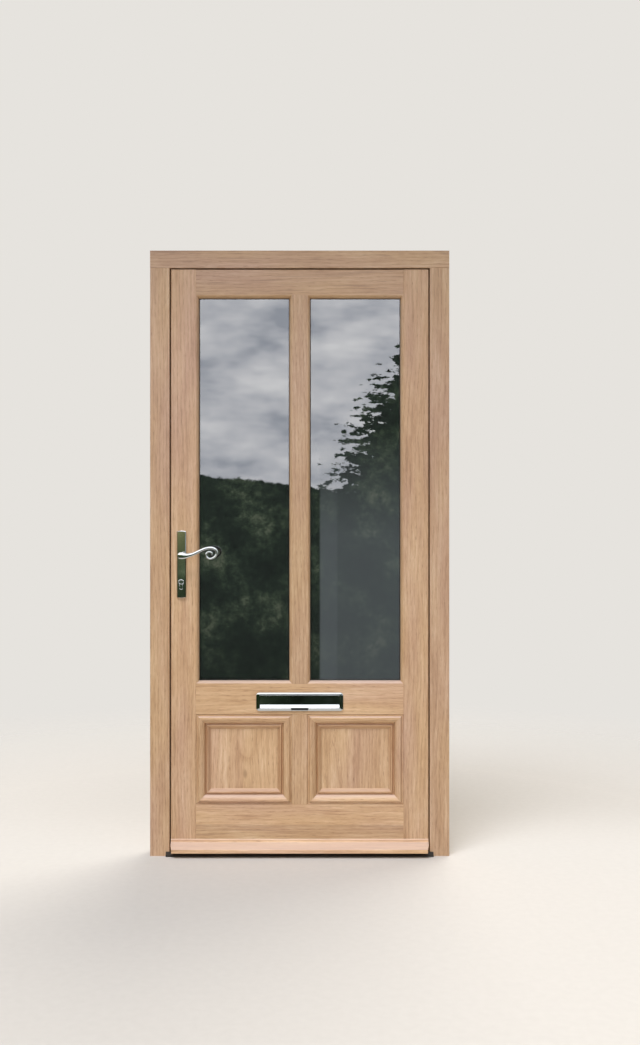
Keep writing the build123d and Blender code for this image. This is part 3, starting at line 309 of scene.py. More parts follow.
    # pores stand in the first wood of each year
    spot = node(tree, "Mapping", {"Vector": log, "Scale": per_metre(1.3, 1.3, 22)})
    pore = node(tree, "TexNoise", {"Vector": spot, "Scale": 1.0, "Detail": 1.0})
    pore = node(tree, "MapRange", {"Value": pore, "From Min": 0.56, "From Max": 0.7})
    early = node(tree, "MapRange", {"Value": year, "From Max": 0.5, "To Min": 1.0, "To Max": 0.25})
    hole = node(tree, "Math", {0: pore, 1: early}, operation="MULTIPLY")
    dark = node(tree, "Math", {0: hole, 1: 0.62}, operation="MULTIPLY")
    wood = node(tree, "Mix", {0: dark, 6: wood, 7: colour("#7c5434", tone_and_shade)}, 2, data_type="RGBA")
    # painted light where it looks up, and painted shade in the hollows and inner corners
    up = node(tree, "SeparateXYZ", {0: node(tree, "TexCoord", output="Normal")}, "Z")
    wear_and_painted_light = PAINTED_TOP_LIGHT if name in SKY_FACING_BOARDS else 0.0
    painted_lighting = node(tree, "MapRange", {"Value": up, "From Min": 0.3, "From Max": 0.8, "To Max": wear_and_painted_light})
    wood = node(tree, "Mix", {0: painted_lighting, 6: wood, 7: colour("#d3beb2")}, 2, data_type="RGBA")
    # painted shade: darker in the hollows and inner corners of a section
    crease_shade = node(tree, "Attribute", output="Fac", attribute_name="crease_shade")
    crease_shade = node(tree, "Math", {0: crease_shade, 1: 0.85}, operation="MULTIPLY")
    wood = node(tree, "Mix", {0: crease_shade, 6: wood, 7: colour("#8b5427", tone_and_shade)}, 2, data_type="RGBA")
    height = node(tree, "Math", {0: fibre, 1: hole}, operation="SUBTRACT")
    satin = {"Value": fibre, "From Min": 0.3, "From Max": 0.7, "To Min": 0.42, "To Max": 0.56}
    inputs = {
        "Base Color": wood,
        "Roughness": node(tree, "MapRange", satin),
        "Coat Weight": 0.45,
        "Coat Roughness": 0.26,
        "Normal": node(tree, "Bump", {"Height": height, "Distance": 0.35 * MM, "Strength": 0.5}),
    }
    node(tree, "OutputMaterial", {"Surface": node(tree, "BsdfPrincipled", inputs)})
    return material


def polished_chrome():
    """Chromium plate on brass, buffed. The eye sees a mirror with the faintest bloom of handling."""
    material, tree, place = new_material("polished_chrome")
    spot = node(tree, "Mapping", {"Vector": place, "Scale": per_metre(34, 34, 21)})
    smear = node(tree, "TexNoise", {"Vector": spot, "Scale": 1.0, "Detail": 4.0})
    bloom = {"Value": smear, "From Min": 0.35, "From Max": 0.75, "To Min": 0.03, "To Max": 0.075}
    inputs = {"Base Color": colour("#cfd1d0"), "Metallic": 1.0, "Roughness": node(tree, "MapRange", bloom)}
    node(tree, "OutputMaterial", {"Surface": node(tree, "BsdfPrincipled", inputs)})
    return material


def satin_steel(name, code, along):
    """Stainless steel, brushed along its length. The eye sees fine straight scratches and a broad soft gleam.
    The scratches are drawn about ten times as wide as real ones so that they show."""
    material, tree, place = new_material(name)
    spot = node(tree, "Mapping", {"Vector": place, "Scale": per_metre(0.9, 0.9, along)})
    brush = node(tree, "TexNoise", {"Vector": spot, "Scale": 1.0, "Detail": 2.0})
    gleam = {"Value": brush, "From Min": 0.3, "From Max": 0.7, "To Min": 0.26, "To Max": 0.42}
    inputs = {
        "Base Color": colour(code),
        "Metallic": 1.0,
        "Roughness": node(tree, "MapRange", gleam),
        "Normal": node(tree, "Bump", {"Height": brush, "Distance": 0.03 * MM, "Strength": 0.6}),
    }
    node(tree, "OutputMaterial", {"Surface": node(tree, "BsdfPrincipled", inputs)})
    return material


def bronze_anodised():
    """Extruded aluminium, anodised dark bronze. The eye sees a dark matt metal with lines drawn along it, a
    few times as wide as real ones so that they show."""
    material, tree, place = new_material("bronze_anodised")
    spot = node(tree, "Mapping", {"Vector": place, "Scale": per_metre(400, 1.6, 1.6)})
    drawn = node(tree, "TexNoise", {"Vector": spot, "Scale": 1.0, "Detail": 2.0})
    spot = node(tree, "Mapping", {"Vector": place, "Scale": per_metre(60, 18, 18)})
    scuff = node(tree, "TexNoise", {"Vector": spot, "Scale": 1.0, "Detail": 5.0, "Roughness": 0.7})
    browns = ((0.3, "#2b2723"), (0.6, "#38332d"), (0.85, "#575047"))
    wear_and_painted_light = {"Value": scuff, "From Min": 0.3, "From Max": 0.8, "To Min": 0.38, "To Max": 0.55}
    inputs = {
        "Base Color": node(tree, "ValToRGB", {"Fac": scuff}, stops=graded(browns)),
        "Metallic": 0.85,
        "Roughness": node(tree, "MapRange", wear_and_painted_light),
        "Normal": node(tree, "Bump", {"Height": drawn, "Distance": 0.05 * MM, "Strength": 0.6}),
    }
    node(tree, "OutputMaterial", {"Surface": node(tree, "BsdfPrincipled", inputs)})
    return material


def mill_aluminium():
    """Rolled aluminium strip as it leaves the mill. The eye sees a pale dull metal."""
    material, tree, place = new_material("mill_aluminium")
    spot = node(tree, "Mapping", {"Vector": place, "Scale": per_metre(8, 8, 90)})
    rolled = node(tree, "TexNoise", {"Vector": spot, "Scale": 1.0, "Detail": 3.0})
    dull = {"Value": rolled, "From Min": 0.3, "From Max": 0.7, "To Min": 0.35, "To Max": 0.5}
    inputs = {"Base Color": colour("#c4c5c6"), "Metallic": 1.0, "Roughness": node(tree, "MapRange", dull)}
    node(tree, "OutputMaterial", {"Surface": node(tree, "BsdfPrincipled", inputs)})
    return material


def black_rubber():
    """Extruded weather seal. The eye sees matt black with a dusty bloom."""
    material, tree, place = new_material("black_rubber")
    spot = node(tree, "Mapping", {"Vector": place, "Scale": per_metre(14, 14, 60)})
    dust = node(tree, "TexNoise", {"Vector": spot, "Scale": 1.0, "Detail": 4.0})
    blacks = ((0.35, "#141413"), (0.8, "#2a2927"))
    matt = {"Value": dust, "From Min": 0.3, "From Max": 0.8, "To Min": 0.6, "To Max": 0.8}
    inputs = {
        "Base Color": node(tree, "ValToRGB", {"Fac": dust}, stops=graded(blacks)),
        "Roughness": node(tree, "MapRange", matt),
    }
    node(tree, "OutputMaterial", {"Surface": node(tree, "BsdfPrincipled", inputs)})
    return material


def tinted_float_glass():
    """Coated float glass. The eye sees a grey-green mirror of what stands in front, slightly wavy. Its dark
    tint is partly the glass's own and partly painted shade, standing in for a dim room behind it."""
    material, tree, place = new_material("tinted_float_glass")
    spot = node(tree, "Mapping", {"Vector": place, "Scale": per_metre(260, 260, 340)})
    wave = node(tree, "TexNoise", {"Vector": spot, "Scale": 1.0, "Detail": 1.0})
    inputs = {
        # the dark tint is partly painted shade for a dim room behind the glass
        "Base Color": colour("#565f5c"),
        "Transmission Weight": 1.0,
        "Roughness": 0.0,
        "IOR": 1.52,
        "Specular IOR Level": 1.0,
        "Coat Weight": 1.0,
        "Coat Roughness": 0.0,
        "Coat IOR": 2.0,
        "Normal": node(tree, "Bump", {"Height": wave, "Distance": 0.5 * MM, "Strength": 0.2}),
    }
    node(tree, "OutputMaterial", {"Surface": node(tree, "BsdfPrincipled", inputs)})
    return material


# The oak of each board: grain direction, pith, ring width, wander, tone, share of pink and strength of the
# figure. Some have a strength of dark streaks too, and one has a knot at a place (across, up). Tone and pink
# are partly each board's own colour and partly painted light: the top boards are set darker and pinker as
# painted shade, and the lower rails and the weather bar lighter as painted light.
OAK = {
    "lock_jamb": ("z", (-900, 300), 9.0, 16.0, 0.94, 0.6, 0.9),
    "hinge_jamb": ("z", (820, 330), 10.0, 16.0, 0.89, 0.6, 0.9),
    "frame_head": ("x", (-2300, -60), 12.0, 20.0, 0.92, 0.6, 1.0, 0.4),
    "lock_stile": ("z", (-640, 170), 10.0, 18.0, 1.0, 0.5, 0.9),
    "hinge_stile": ("z", (610, 150), 11.0, 18.0, 0.96, 0.45, 0.9),
    "top_rail": ("x", (-1985, 60), 13.0, 26.0, 0.9, 0.5, 1.1, 0.5),
    "upper_muntin": ("z", (-120, 120), 9.0, 12.0, 0.87, 0.5, 0.9),
    "lower_muntin": ("z", (150, 90), 10.0, 14.0, 0.95, 0.4, 0.9),
    "lock_rail": ("x", (-420, 130), 14.0, 22.0, 1.04, 0.3, 0.7),
    "bottom_rail": ("x", (-250, 110), 13.0, 18.0, 1.04, 0.25, 0.7),
    "bottom_board": ("x", (-120, 160), 9.0, 18.0, 0.9, 0.35, 0.9, 0.35),
    "left_panel": ("z", (-200, 75), 13.0, 26.0, 1.03, 0.2, 0.9, 0.0, (-189, 279)),
    "right_panel": ("z", (110, 95), 12.0, 22.0, 0.98, 0.25, 0.9),
    "weather_bar": ("x", (-10, 120), 12.0, 14.0, 1.22, 0.45, 0.8, 0.5),
    "level_moulding": ("x", (-330, 160), 9.0, 14.0, 1.08, 0.3, 0.7),
    "upright_moulding": ("z", (-30, 130), 9.0, 14.0, 0.97, 0.25, 0.7),
}


def make_finishes():
    """Every finish by name, with an oak for each board."""
    finishes = {
        "glass": tinted_float_glass(),
        "spacer": mill_aluminium(),
        "sill": bronze_anodised(),
        "seal": black_rubber(),
        "chrome": polished_chrome(),
        "steel": satin_steel("satin_steel", "#b4b3ae", 60.0),
        "nickel": satin_steel("satin_nickel", "#c2beb4", 20.0),
    }
    for board, values in OAK.items():
        finishes[board] = varnished_oak(f"oak_{board}", *values)
    return finishes


def dress_frame(finishes):
    """Every part of the frame that shows as it is gets its finish."""
    for row in frame["record"]["subparts"]:
        name, slot = row["node"], row["material_slot"]
        finish = finishes.get(slot, finishes["upright_moulding"])
        if name in OAK:
            finish = finishes[name]
        elif name in ("cylinder_body", "cylinder_plug"):
            finish = finishes["chrome"]
        NODES[name].data.materials.clear()
        NODES[name].data.materials.append(finish)


# Timber sections, as (in from the opening's edge, out of the leaf's face, radius of the corner)
PANEL_SUNK = 14.0
GLASS_SUNK = 22.0
BEAD_START = 37.0
# the bead and the cove get at least this much painted shade
BEAD_PAINTED_SHADE = 0.26
BAR_LIP = 5.0
BAR_CUT = (24.0, 6.0)
NOSE_DROP = 4.0


def panel_section():
    """A sunk rim, a raised nose, an ovolo falling to a fillet, then a quirked bead and a cove. The bead and
    the cove are sheltered and get some painted shade."""
    section = eased(
        [
            (0, -PANEL_SUNK, 0),
            (0, -3.4, 0.1),
            (1.0, -3.4, 0.9),
            (1.6, -1.5, 0.4),
            (6.4, -2.2, 1.0),
            (10.4, 5.6, 3.0),
            (14.5, 6, 2.5),
            *bowed((16.5, 5.6), (31.5, -8.6), 3.0)[:-1],
            (31.8, -10.4, 2.0),
            (36.8, -9.6, 2.2),
            (38.2, -4.4, 1.3),
            (43, -5.4, 1.2),
            (43.8, -8.2, 1.0),
            *bowed((45, -8.4), (51.4, -13), -0.9)[:-1],
            (52, -PANEL_SUNK, 0),
        ]
    )
    inner = section[:, 0] > BEAD_START
    section[inner, 2] = np.maximum(section[inner, 2], BEAD_PAINTED_SHADE)
    return section


def bead_section():
    """A small ovolo bead, flush with the leaf at its outer edge and square against the glass."""
    return eased(
        [
            (0, 0, 0.4),
            (0, -GLASS_SUNK, 0),
            (10, -GLASS_SUNK, 0),
            (10, -14, 0.8),
            *bowed((9.4, -12.6), (2.4, -0.9), -1.3),
            (1.5, 0, 0.6),
        ]
    )


def gasket_section():
    """The strip of sealant that shows between the bead and the glass."""
    return eased([(9.8, -GLASS_SUNK, 0), (9.8, -20.4, 0.3), (11.2, -20.9, 0.6), (12.2, -GLASS_SUNK, 0)])


def mouldings(finishes):
    """Mitred mouldings round the panels and beads round the glass, on both sides of the leaf. Level lengths
    and upright ones are sawn from different boards, so they take turns round a ring."""
    oaks = (finishes["level_moulding"], finishes["upright_moulding"])
    order = (0, 1, 0, 1)
    for place, side in SIDES:
        face = face_of("lock_stile", side)
        for hand in ("left", "right"):
            for part, section in (("panel_moulding", panel_section()), ("glazing_bead", bead_section())):
                name = f"{hand}_{part}_{place}"
                low, high = corners(name)
                ring = mitred_ring((low[0], high[0]), (low[2], high[2]), face, side, section)
                # painted shade in the inner corners of the section
                crease_shade = np.tile(section[:, 2], 2 * len(ring))
                piece(f"{name}_lengths", ring, oaks, "leaf", order, stands_for=(name,), crease_shade=crease_shade)
            ring = mitred_ring((low[0], high[0]), (low[2], high[2]), face, side, gasket_section(), 0.0)
            piece(f"{hand}_glass_gasket_{place}", ring, (finishes["seal"],), "leaf")


def weather_bar(finishes):
    """The bar's section carried across the door. Its ends are cut back at the front, so a section point comes
    short of the end by the cut's slant at its depth. The nose hangs a little lower than the CAD's."""
    low, high = corners("weather_bar")
    nose, back, top = low[1], high[1], high[2]
    bottom = low[2] - NOSE_DROP
    lip = back - BAR_LIP
    # up the back, over the lip, down to the nose and back past the drip groove
    outline = [
        (back, bottom + NOSE_DROP, 0),
        (back, top, 0.6),
        (lip + 2.2, top - 0.6, 1.4),
        (lip, top - 5, 1.0),
        (lip + 1.6, top - 5.6, 1.4),
        *bowed((lip + 0.6, top - 8.5), (lip - 5, bottom + 26.0), 1.0)[:-1],
        (lip - 10, bottom + 24.2, 3.5),
        (nose, bottom + 14, 2.6),
        (nose, bottom, 1.6),
        (nose + 7, bottom, 0.4),
        (nose + 7, bottom + 5, 0.8),
        (nose + 13, bottom + 5, 0.8),
        (nose + 13, bottom + NOSE_DROP, 0.4),
    ]
    y, z, crease_shade = eased(outline).T
    cut, slant = BAR_CUT
    end = high[0] - np.clip((nose + cut - y) / cut, 0, 1) * slant
    shell = tube([np.column_stack((side * end, y, z)) for side in (-1, 1)])
    oak = (finishes["weather_bar"],)
    # painted shade in the inner corners of the bar's section
    crease_shade = np.tile(crease_shade, 2)
    piece("weather_bar_moulding", [shell], oak, "leaf", stands_for=("weather_bar",), crease_shade=crease_shade)


# Lever handles. The line runs from the root's far side through the spindle into the curled tail.
ROOT_BACK = 7.5
LEVER_LINE = (
    (-7.5, 0.5), (0.0, 0.0), (14.0, -1.0), (29.0, 0.5), (45.0, 5.0), (58.0, 11.0), (71.0, 17.2),
    (85.0, 23.2), (98.0, 26.0), (110.0, 26.0), (120.0, 22.0), (125.5, 14.0), (125.0, 4.0), (118.0, -5.0),
    (104.0, -10.5), (93.0, -5.5), (89.5, 4.0), (94.5, 11.5), (103.0, 13.0), (110.0, 8.0), (109.5, 1.5),
)
LEVER_WIDTHS = ((0.0, 0.06, 0.12, 0.2, 0.36, 0.5, 0.74, 1.0), (24.0, 21.0, 14.5, 11.0, 9.4, 9.4, 6.6, 5.0))
LEVER_DEPTHS = ((0.0, 0.1, 0.4, 1.0), (10.0, 9.6, 8.6, 6.4))
LEVER_THICK = 10.0
LEVER_NECK = ((7.5, -14.0), (8.0, -9.0), (9.2, -5.0), (9.6, -1.0))
LEVER_ENDS = (11.0, 2.6)
SQUARENESS = 2.9


def scroll_lever(place, side, finishes):
    """A lever drawn out to a curled tail. Its section is the superellipse |u/width|^p + |v/depth|^p = 1, set
    across a smooth line. Width and depth fall towards the tip. A turned neck stands on the spindle."""
    name = f"{place}_lever"
    centre = sum(corners("lock_follower")) / 2
    middle_y = face_of(name, side) - side * LEVER_THICK / 2
    flat = through(LEVER_LINE, 260)
    slope = np.gradient(flat, axis=0)
    step = np.linalg.norm(slope, axis=1)
    slope /= step[:, None]
    run = np.cumsum(step) - step[0]
    share = np.clip((run - ROOT_BACK) / (run[-1] - ROOT_BACK), 0, 1)
    # both ends draw in along a quarter circle
    root = np.clip(1 - run / LEVER_ENDS[0], 0, 1)
    tip = np.clip(1 - (run[-1] - run) / LEVER_ENDS[1], 0, 1)
    ends = np.sqrt(np.clip(1 - root**2 - tip**2, 0.004, 1))
    width = np.interp(share, *LEVER_WIDTHS) / 2 * ends
    depth = np.interp(share, *LEVER_DEPTHS) / 2 * ends
    turn = np.linspace(0, tau, 32, endpoint=False)
    u = np.sign(np.cos(turn)) * np.abs(np.cos(turn)) ** (2 / SQUARENESS)
    v = np.sign(np.sin(turn)) * np.abs(np.sin(turn)) ** (2 / SQUARENESS)
    x = centre[0] + flat[:, :1] - slope[:, 1:] * width[:, None] * u
    y = middle_y + depth[:, None] * v
    z = centre[2] + flat[:, 1:] + slope[:, :1] * width[:, None] * u
    arm = tube(np.stack((x, y, z), -1))
    reach = abs(face_of(name, -side) - middle_y)
    profile = ((0.3, -reach), (7.5, -reach), *LEVER_NECK, (0.3, -0.5))
    neck = turned(profile, (centre[0], middle_y, centre[2]), (0, side, 0), 48)
    chrome = (finishes["chrome"],)
    piece(f"{place}_scroll_lever", (arm, neck), chrome, "lever", smooth=45.0, stands_for=(name,))


# Letter plate
LETTER_R = 11.0
LETTER_T = 8.0
LETTER_RIM = 2.6
LETTER_CROWN = 2.0
WINDOW_DEEP = 6.2
WINDOW_FOOT = 2.0
WINDOW_HEAD = 5.0
NOTCH = (30.0, 28.5)
NOTCH_DEEP = 5.6
SEAL_T = 1.6
SLOT_W = 262.0
SLOT_FOOT = 11.0
SLOT_HEAD = 13.0
SLEEVE_WALL = 2.0
SLEEVE_FIT = 0.3
FLAP_FRONT = 0.8
FLAP_T = 2.5
FLAP_FLARE = (3.0, 11.0)
PIN_R = 1.5
KNUCKLE_R = 1.85


def plate_loop(width, low, high, radius, dip=0.0):
    """A rectangle's outline with quarter circles for corners. Its lower side dips where a finger goes under
    the flap."""
    turn = np.linspace(0, pi / 2, 7)
    half = width / 2 - radius
    lower, upper = low + radius, high - radius
    spots = ((-half, lower, pi), (half, lower, 1.5 * pi), (half, upper, 0), (-half, upper, pi / 2))
    arcs = []
    for x, z, start in spots:
        arc = (x + radius * np.cos(turn + start), z + radius * np.sin(turn + start))
        arcs.append(np.column_stack(arc))
    scoop = np.array(((-NOTCH[0], low), (-NOTCH[1], low - dip), (NOTCH[1], low - dip), (NOTCH[0], low)))
    return np.vstack((arcs[0], scoop, *arcs[1:]))


def letter_plate(place, side, finishes):
    """The frame is a closed run of loops: round rim, field that rises to the window, slot and sleeve. The
    flap is a bent sheet on a rolled knuckle. A black foam seal lies under its lip, and is also painted shade
    for the dark of the notch."""
    name = f"letter_frame_{place}"
    low, high = corners(name)
    face = face_of("lock_stile", side)
    flap_low, flap_high = corners(f"letter_flap_{place}")
    pin_low, pin_high = corners("flap_pins")
    width, bottom, top = high[0] - low[0], low[2], high[2]
    sleeve = side * (face_of(name, -side) - face)
    window = (pin_high[0] - pin_low[0], flap_low[2] - WINDOW_FOOT, top - WINDOW_HEAD)
    # the inside half of the sleeve goes over the outside half
    bore = 0.0 if side < 0 else SLEEVE_WALL + SLEEVE_FIT
    slot = (SLOT_W + 2 * bore, bottom + SLOT_FOOT - bore, top - SLOT_HEAD + bore)
    wall = (slot[0] + 2 * SLEEVE_WALL, slot[1] - SLEEVE_WALL, slot[2] + SLEEVE_WALL)
    loops = [(plate_loop(width, bottom, top, LETTER_R), 0.0)]
    for angle in np.linspace(0, pi / 2, 7):
        inset = LETTER_RIM * (1 - cos(angle))
        loop = plate_loop(width - 2 * inset, bottom + inset, top - inset, LETTER_R - inset)
        loops.append((loop, LETTER_T - LETTER_CROWN - LETTER_RIM * (1 - sin(angle))))
    # round the window: grown by so much, corner radius, notch depth and height
    edges = (
        (1.2, 3.2, NOTCH_DEEP - 0.7, LETTER_T - 0.2),
        (0.5, 2.5, NOTCH_DEEP, LETTER_T),
        (0.0, 2.0, NOTCH_DEEP, LETTER_T - 0.5),
        (0.0, 1.0, NOTCH_DEEP, LETTER_T - WINDOW_DEEP),
    )
    for grown, radius, deep, height in edges:
        loop = plate_loop(window[0] + 2 * grown, window[1] - grown, window[2] + grown, radius, deep)
        loops.append((loop, height))
    for sides, height in ((slot, LETTER_T - WINDOW_DEEP), (slot, sleeve), (wall, sleeve), (wall, 0.0)):
        loops.append((plate_loop(*sides, 1.0), height))
    rings = [np.insert(loop, 1, face + side * out, axis=1) for loop, out in loops]
    chrome = (finishes["chrome"],)
    piece(f"{name}_pressing", [tube(rings, closed=True)], chrome, "leaf", stands_for=(name,))

    # a black seal on the window's floor under the notch: partly a real seal, partly painted shade
    floor = face + side * (LETTER_T - WINDOW_DEEP)
    lower, upper = window[1] - NOTCH_DEEP, slot[1] - 0.3
    spots = ((lower, 0.0), (upper, 0.0), (upper, SEAL_T), (lower, SEAL_T))
    strip = [[(x, floor + side * out, z) for z, out in spots] for x in (-NOTCH[1], NOTCH[1])]
    piece(f"letter_shade_seal_{place}", [tube(strip)], (finishes["seal"],), "leaf")

    front = face + side * LETTER_T
    foot = flap_low[2]
    flare = foot + FLAP_FLARE[1]
    lip = FLAP_FLARE[0] - FLAP_FRONT
    section = eased(
        [
            (-FLAP_FRONT, window[2] - 2.5, 0.6),
            (-FLAP_FRONT, window[2] - 3.6, 0),
            (-FLAP_FRONT, flare + 3.0, 0),
            (-FLAP_FRONT, flare, 2.5),
            (lip, foot, 0.9),
            (lip - FLAP_T, foot, 0.9),
            (-FLAP_FRONT - FLAP_T, flare, 2.5),
            (-FLAP_FRONT - FLAP_T, window[2] - 2.5, 0.6),
        ]
    )
    ends = (flap_low[0], flap_high[0])
    y, z = front + side * section[:, 0], section[:, 1]
    sheet = tube([np.column_stack((np.full(len(section), x), y, z)) for x in ends])
    pin_y = face_of("flap_pins", side) - side * PIN_R
    length = ends[1] - ends[0]
    half = ((0.2, 0.0), (PIN_R, 0.0), (KNUCKLE_R, 0.4))
    profile = (*half, *((radius, length - along) for radius, along in reversed(half)))
    knuckle = turned(profile, (ends[0], pin_y, (pin_low[2] + pin_high[2]) / 2), (1, 0, 0), 24)
    body = "outer_flap" if side < 0 else "inner_flap"
    name = f"letter_flap_{place}"
    piece(f"{name}_pressing", (sheet, knuckle), chrome, body, stands_for=(name,))


# Small fixings
HINGE_SCREWS = (12, 37, 63, 88)
HINGE_ROWS = (8, 18)
FACE_SCREWS = (14, 200, 470, 695, 870, 1150, 1390, 1586)
WIDE_HEAD = 3.6
SMALL_HEAD = 3.4
HINGE_CAP = ((0.3, 0.0), (6.0, 0.0), (6.0, 0.8), (5.2, 1.6), (3.4, 2.2), (0.3, 2.5))
HANDLE_SCREW = 13.0
CYLINDER_PROUD = 4.0
EURO_LEG = 5.0
EURO_RIM = ((0.0, 0.0), (1.3, 0.0), (1.1, 0.6), (0.4, 0.9), (0.0, 0.6))
PLUG_RIM = ((6.7, 0.0), (6.9, 0.35), (7.3, 0.5), (7.7, 0.35), (7.9, 0.0))


def screw_head(centre, axis, radius):
    """A countersunk head on a grid of radius r and angle a: a low dome 1-r^2, less a cross of two arms. Each
    arm is exp(-(u/0.13)^4) deep across its width and fades out at 0.6 of the radius."""
    r = np.concatenate((np.linspace(0.02, 1, 14), [1.0]))[:, None]
    turn = np.linspace(0, tau, 48, endpoint=False)[None, :]
    u, v = r * np.cos(turn), r * np.sin(turn)
    arms = [np.exp(-((a / 0.13) ** 4)) / (1 + np.exp((np.abs(b) - 0.6) / 0.04)) for a, b in ((u, v), (v, u))]
    height = 0.35 * (1 - r**2) - 0.9 * np.maximum(*arms)
    height[-1] = -1.2
    side, other = around(axis)
    spots = radius * (u[..., None] * side + v[..., None] * other) + height[..., None] * np.array(axis, float)
    return tube(np.array(centre) + spots)


def screws(name, centres, axis, radius, body, finishes):
    """Several screw heads that hold one part."""
    shells = [screw_head(centre, axis, radius) for centre in centres]
    piece(name, shells, (finishes["steel"],), body, smooth=50.0)


def fixings(finishes):
    """Screws in the hinges, the lock's face, the keep strip and the inside handle, and caps on the hinges."""
    pin = sum(corners("hinge_pins")) / 2
    for place in ("bottom", "middle", "top"):
        for body, side, beside in (("leaf", 1, "hinge_stile"), ("frame", -1, "threshold")):
            low, high = corners(f"{place}_hinge_{body}_plate")
            x = corners(beside)[1][0]
            heights = low[2] + np.array(HINGE_SCREWS)
            spots = [(x, low[1] + HINGE_ROWS[count % 2], height) for count, height in enumerate(heights)]
            screws(f"{place}_hinge_{body}_screws", spots, (side, 0, 0), WIDE_HEAD, body, finishes)
        low, high = corners(f"{place}_hinge_leaf_plate")
        for end, way, body in ((high[2], 1, "leaf"), (low[2], -1, "frame")):
            shell = turned(HINGE_CAP, (pin[0], pin[1], end), (0, 0, way), 32)
            piece(f"{place}_hinge_cap_{body}", [shell], (finishes["steel"],), body)

    low, high = corners("lock_faceplate")
    heights = low[2] + np.array(FACE_SCREWS)
    spots = [(low[0], (low[1] + high[1]) / 2, height) for height in heights]
    screws("faceplate_screws", spots, (-1, 0, 0), SMALL_HEAD, "leaf", finishes)
    low, high = corners("keep_strip")
    spots = [(high[0], (low[1] + high[1]) / 2, height) for height in heights]
    screws("keep_strip_screws", spots, (1, 0, 0), SMALL_HEAD, "frame", finishes)

    low, high = corners("inside_handle_plate")
    plate_y = corners("cylinder_body")[1][1] - CYLINDER_PROUD
    middle = (low[0] + high[0]) / 2
    spots = [(middle, plate_y, height) for height in (low[2] + HANDLE_SCREW, high[2] - HANDLE_SCREW)]
    screws("inside_handle_screws", spots, (0, 1, 0), WIDE_HEAD, "leaf", finishes)


def euro_loop(centre, radius, half, drop, out, y):
    """The outline of a euro cylinder, a round head on a narrow leg with a round foot, grown by a distance."""
    radius, half = radius + out, half + out
    lean = np.arcsin(half / radius)
    head = np.linspace(lean - pi / 2, 1.5 * pi - lean, 28)
    foot = np.linspace(pi, tau, 13)
    x = np.concatenate((radius * np.cos(head), half * np.cos(foot)))
    z = np.concatenate((radius * np.sin(head), half * np.sin(foot) - drop))
    return np.column_stack((centre[0] + x, np.full(len(x), y), centre[2] + z))


def cylinder_rims(finishes):
    """Thin bright rims round the cylinder where it comes through each plate, and round its plug."""
    low, high = corners("cylinder_body")
    radius, half = (high[0] - low[0]) / 2, EURO_LEG
    centre = ((low[0] + high[0]) / 2, 0.0, high[2] - radius)
    drop = centre[2] - half - low[2]
    for place, side in SIDES:
        face = face_of(f"{place}_handle_plate", side)
        end = face_of("cylinder_body", side)
        loops = [euro_loop(centre, radius, half, drop, out, face + side * up) for out, up in EURO_RIM]
        outline = tube(loops, closed=True)
        plug = turned(PLUG_RIM, (centre[0], end, centre[2]), (0, side, 0), 40, closed=True)
        piece(f"{place}_cylinder_rims", (outline, plug), (finishes["chrome"],), "leaf")


# The studio, in metres
GARDEN_REACH = 8.0
GARDEN_TURN = radians(105)
GARDEN_RISE = (radians(-24), radians(89))
EYE = 1.0
FLOOR_REACH = 3.4
FLOOR_FADE = 1.6
BOARD = ((-1.6, 1.4), (-0.62, -0.12), 2.9)
CAMERA = (0.070, -4.0, 1.149)
LENS = 40.0


def hide(made, *rays):
    """These kinds of rays don't see the object."""
    for kind in rays:
        setattr(made, f"visible_{kind}", False)


def stand(name, points, faces):
    """An object of the studio, from points and faces."""
    mesh = bpy.data.meshes.new(name)
    mesh.from_pydata(points, [], faces)
    made = bpy.data.objects.new(name, mesh)
    SCENE.collection.objects.link(made)
    return made


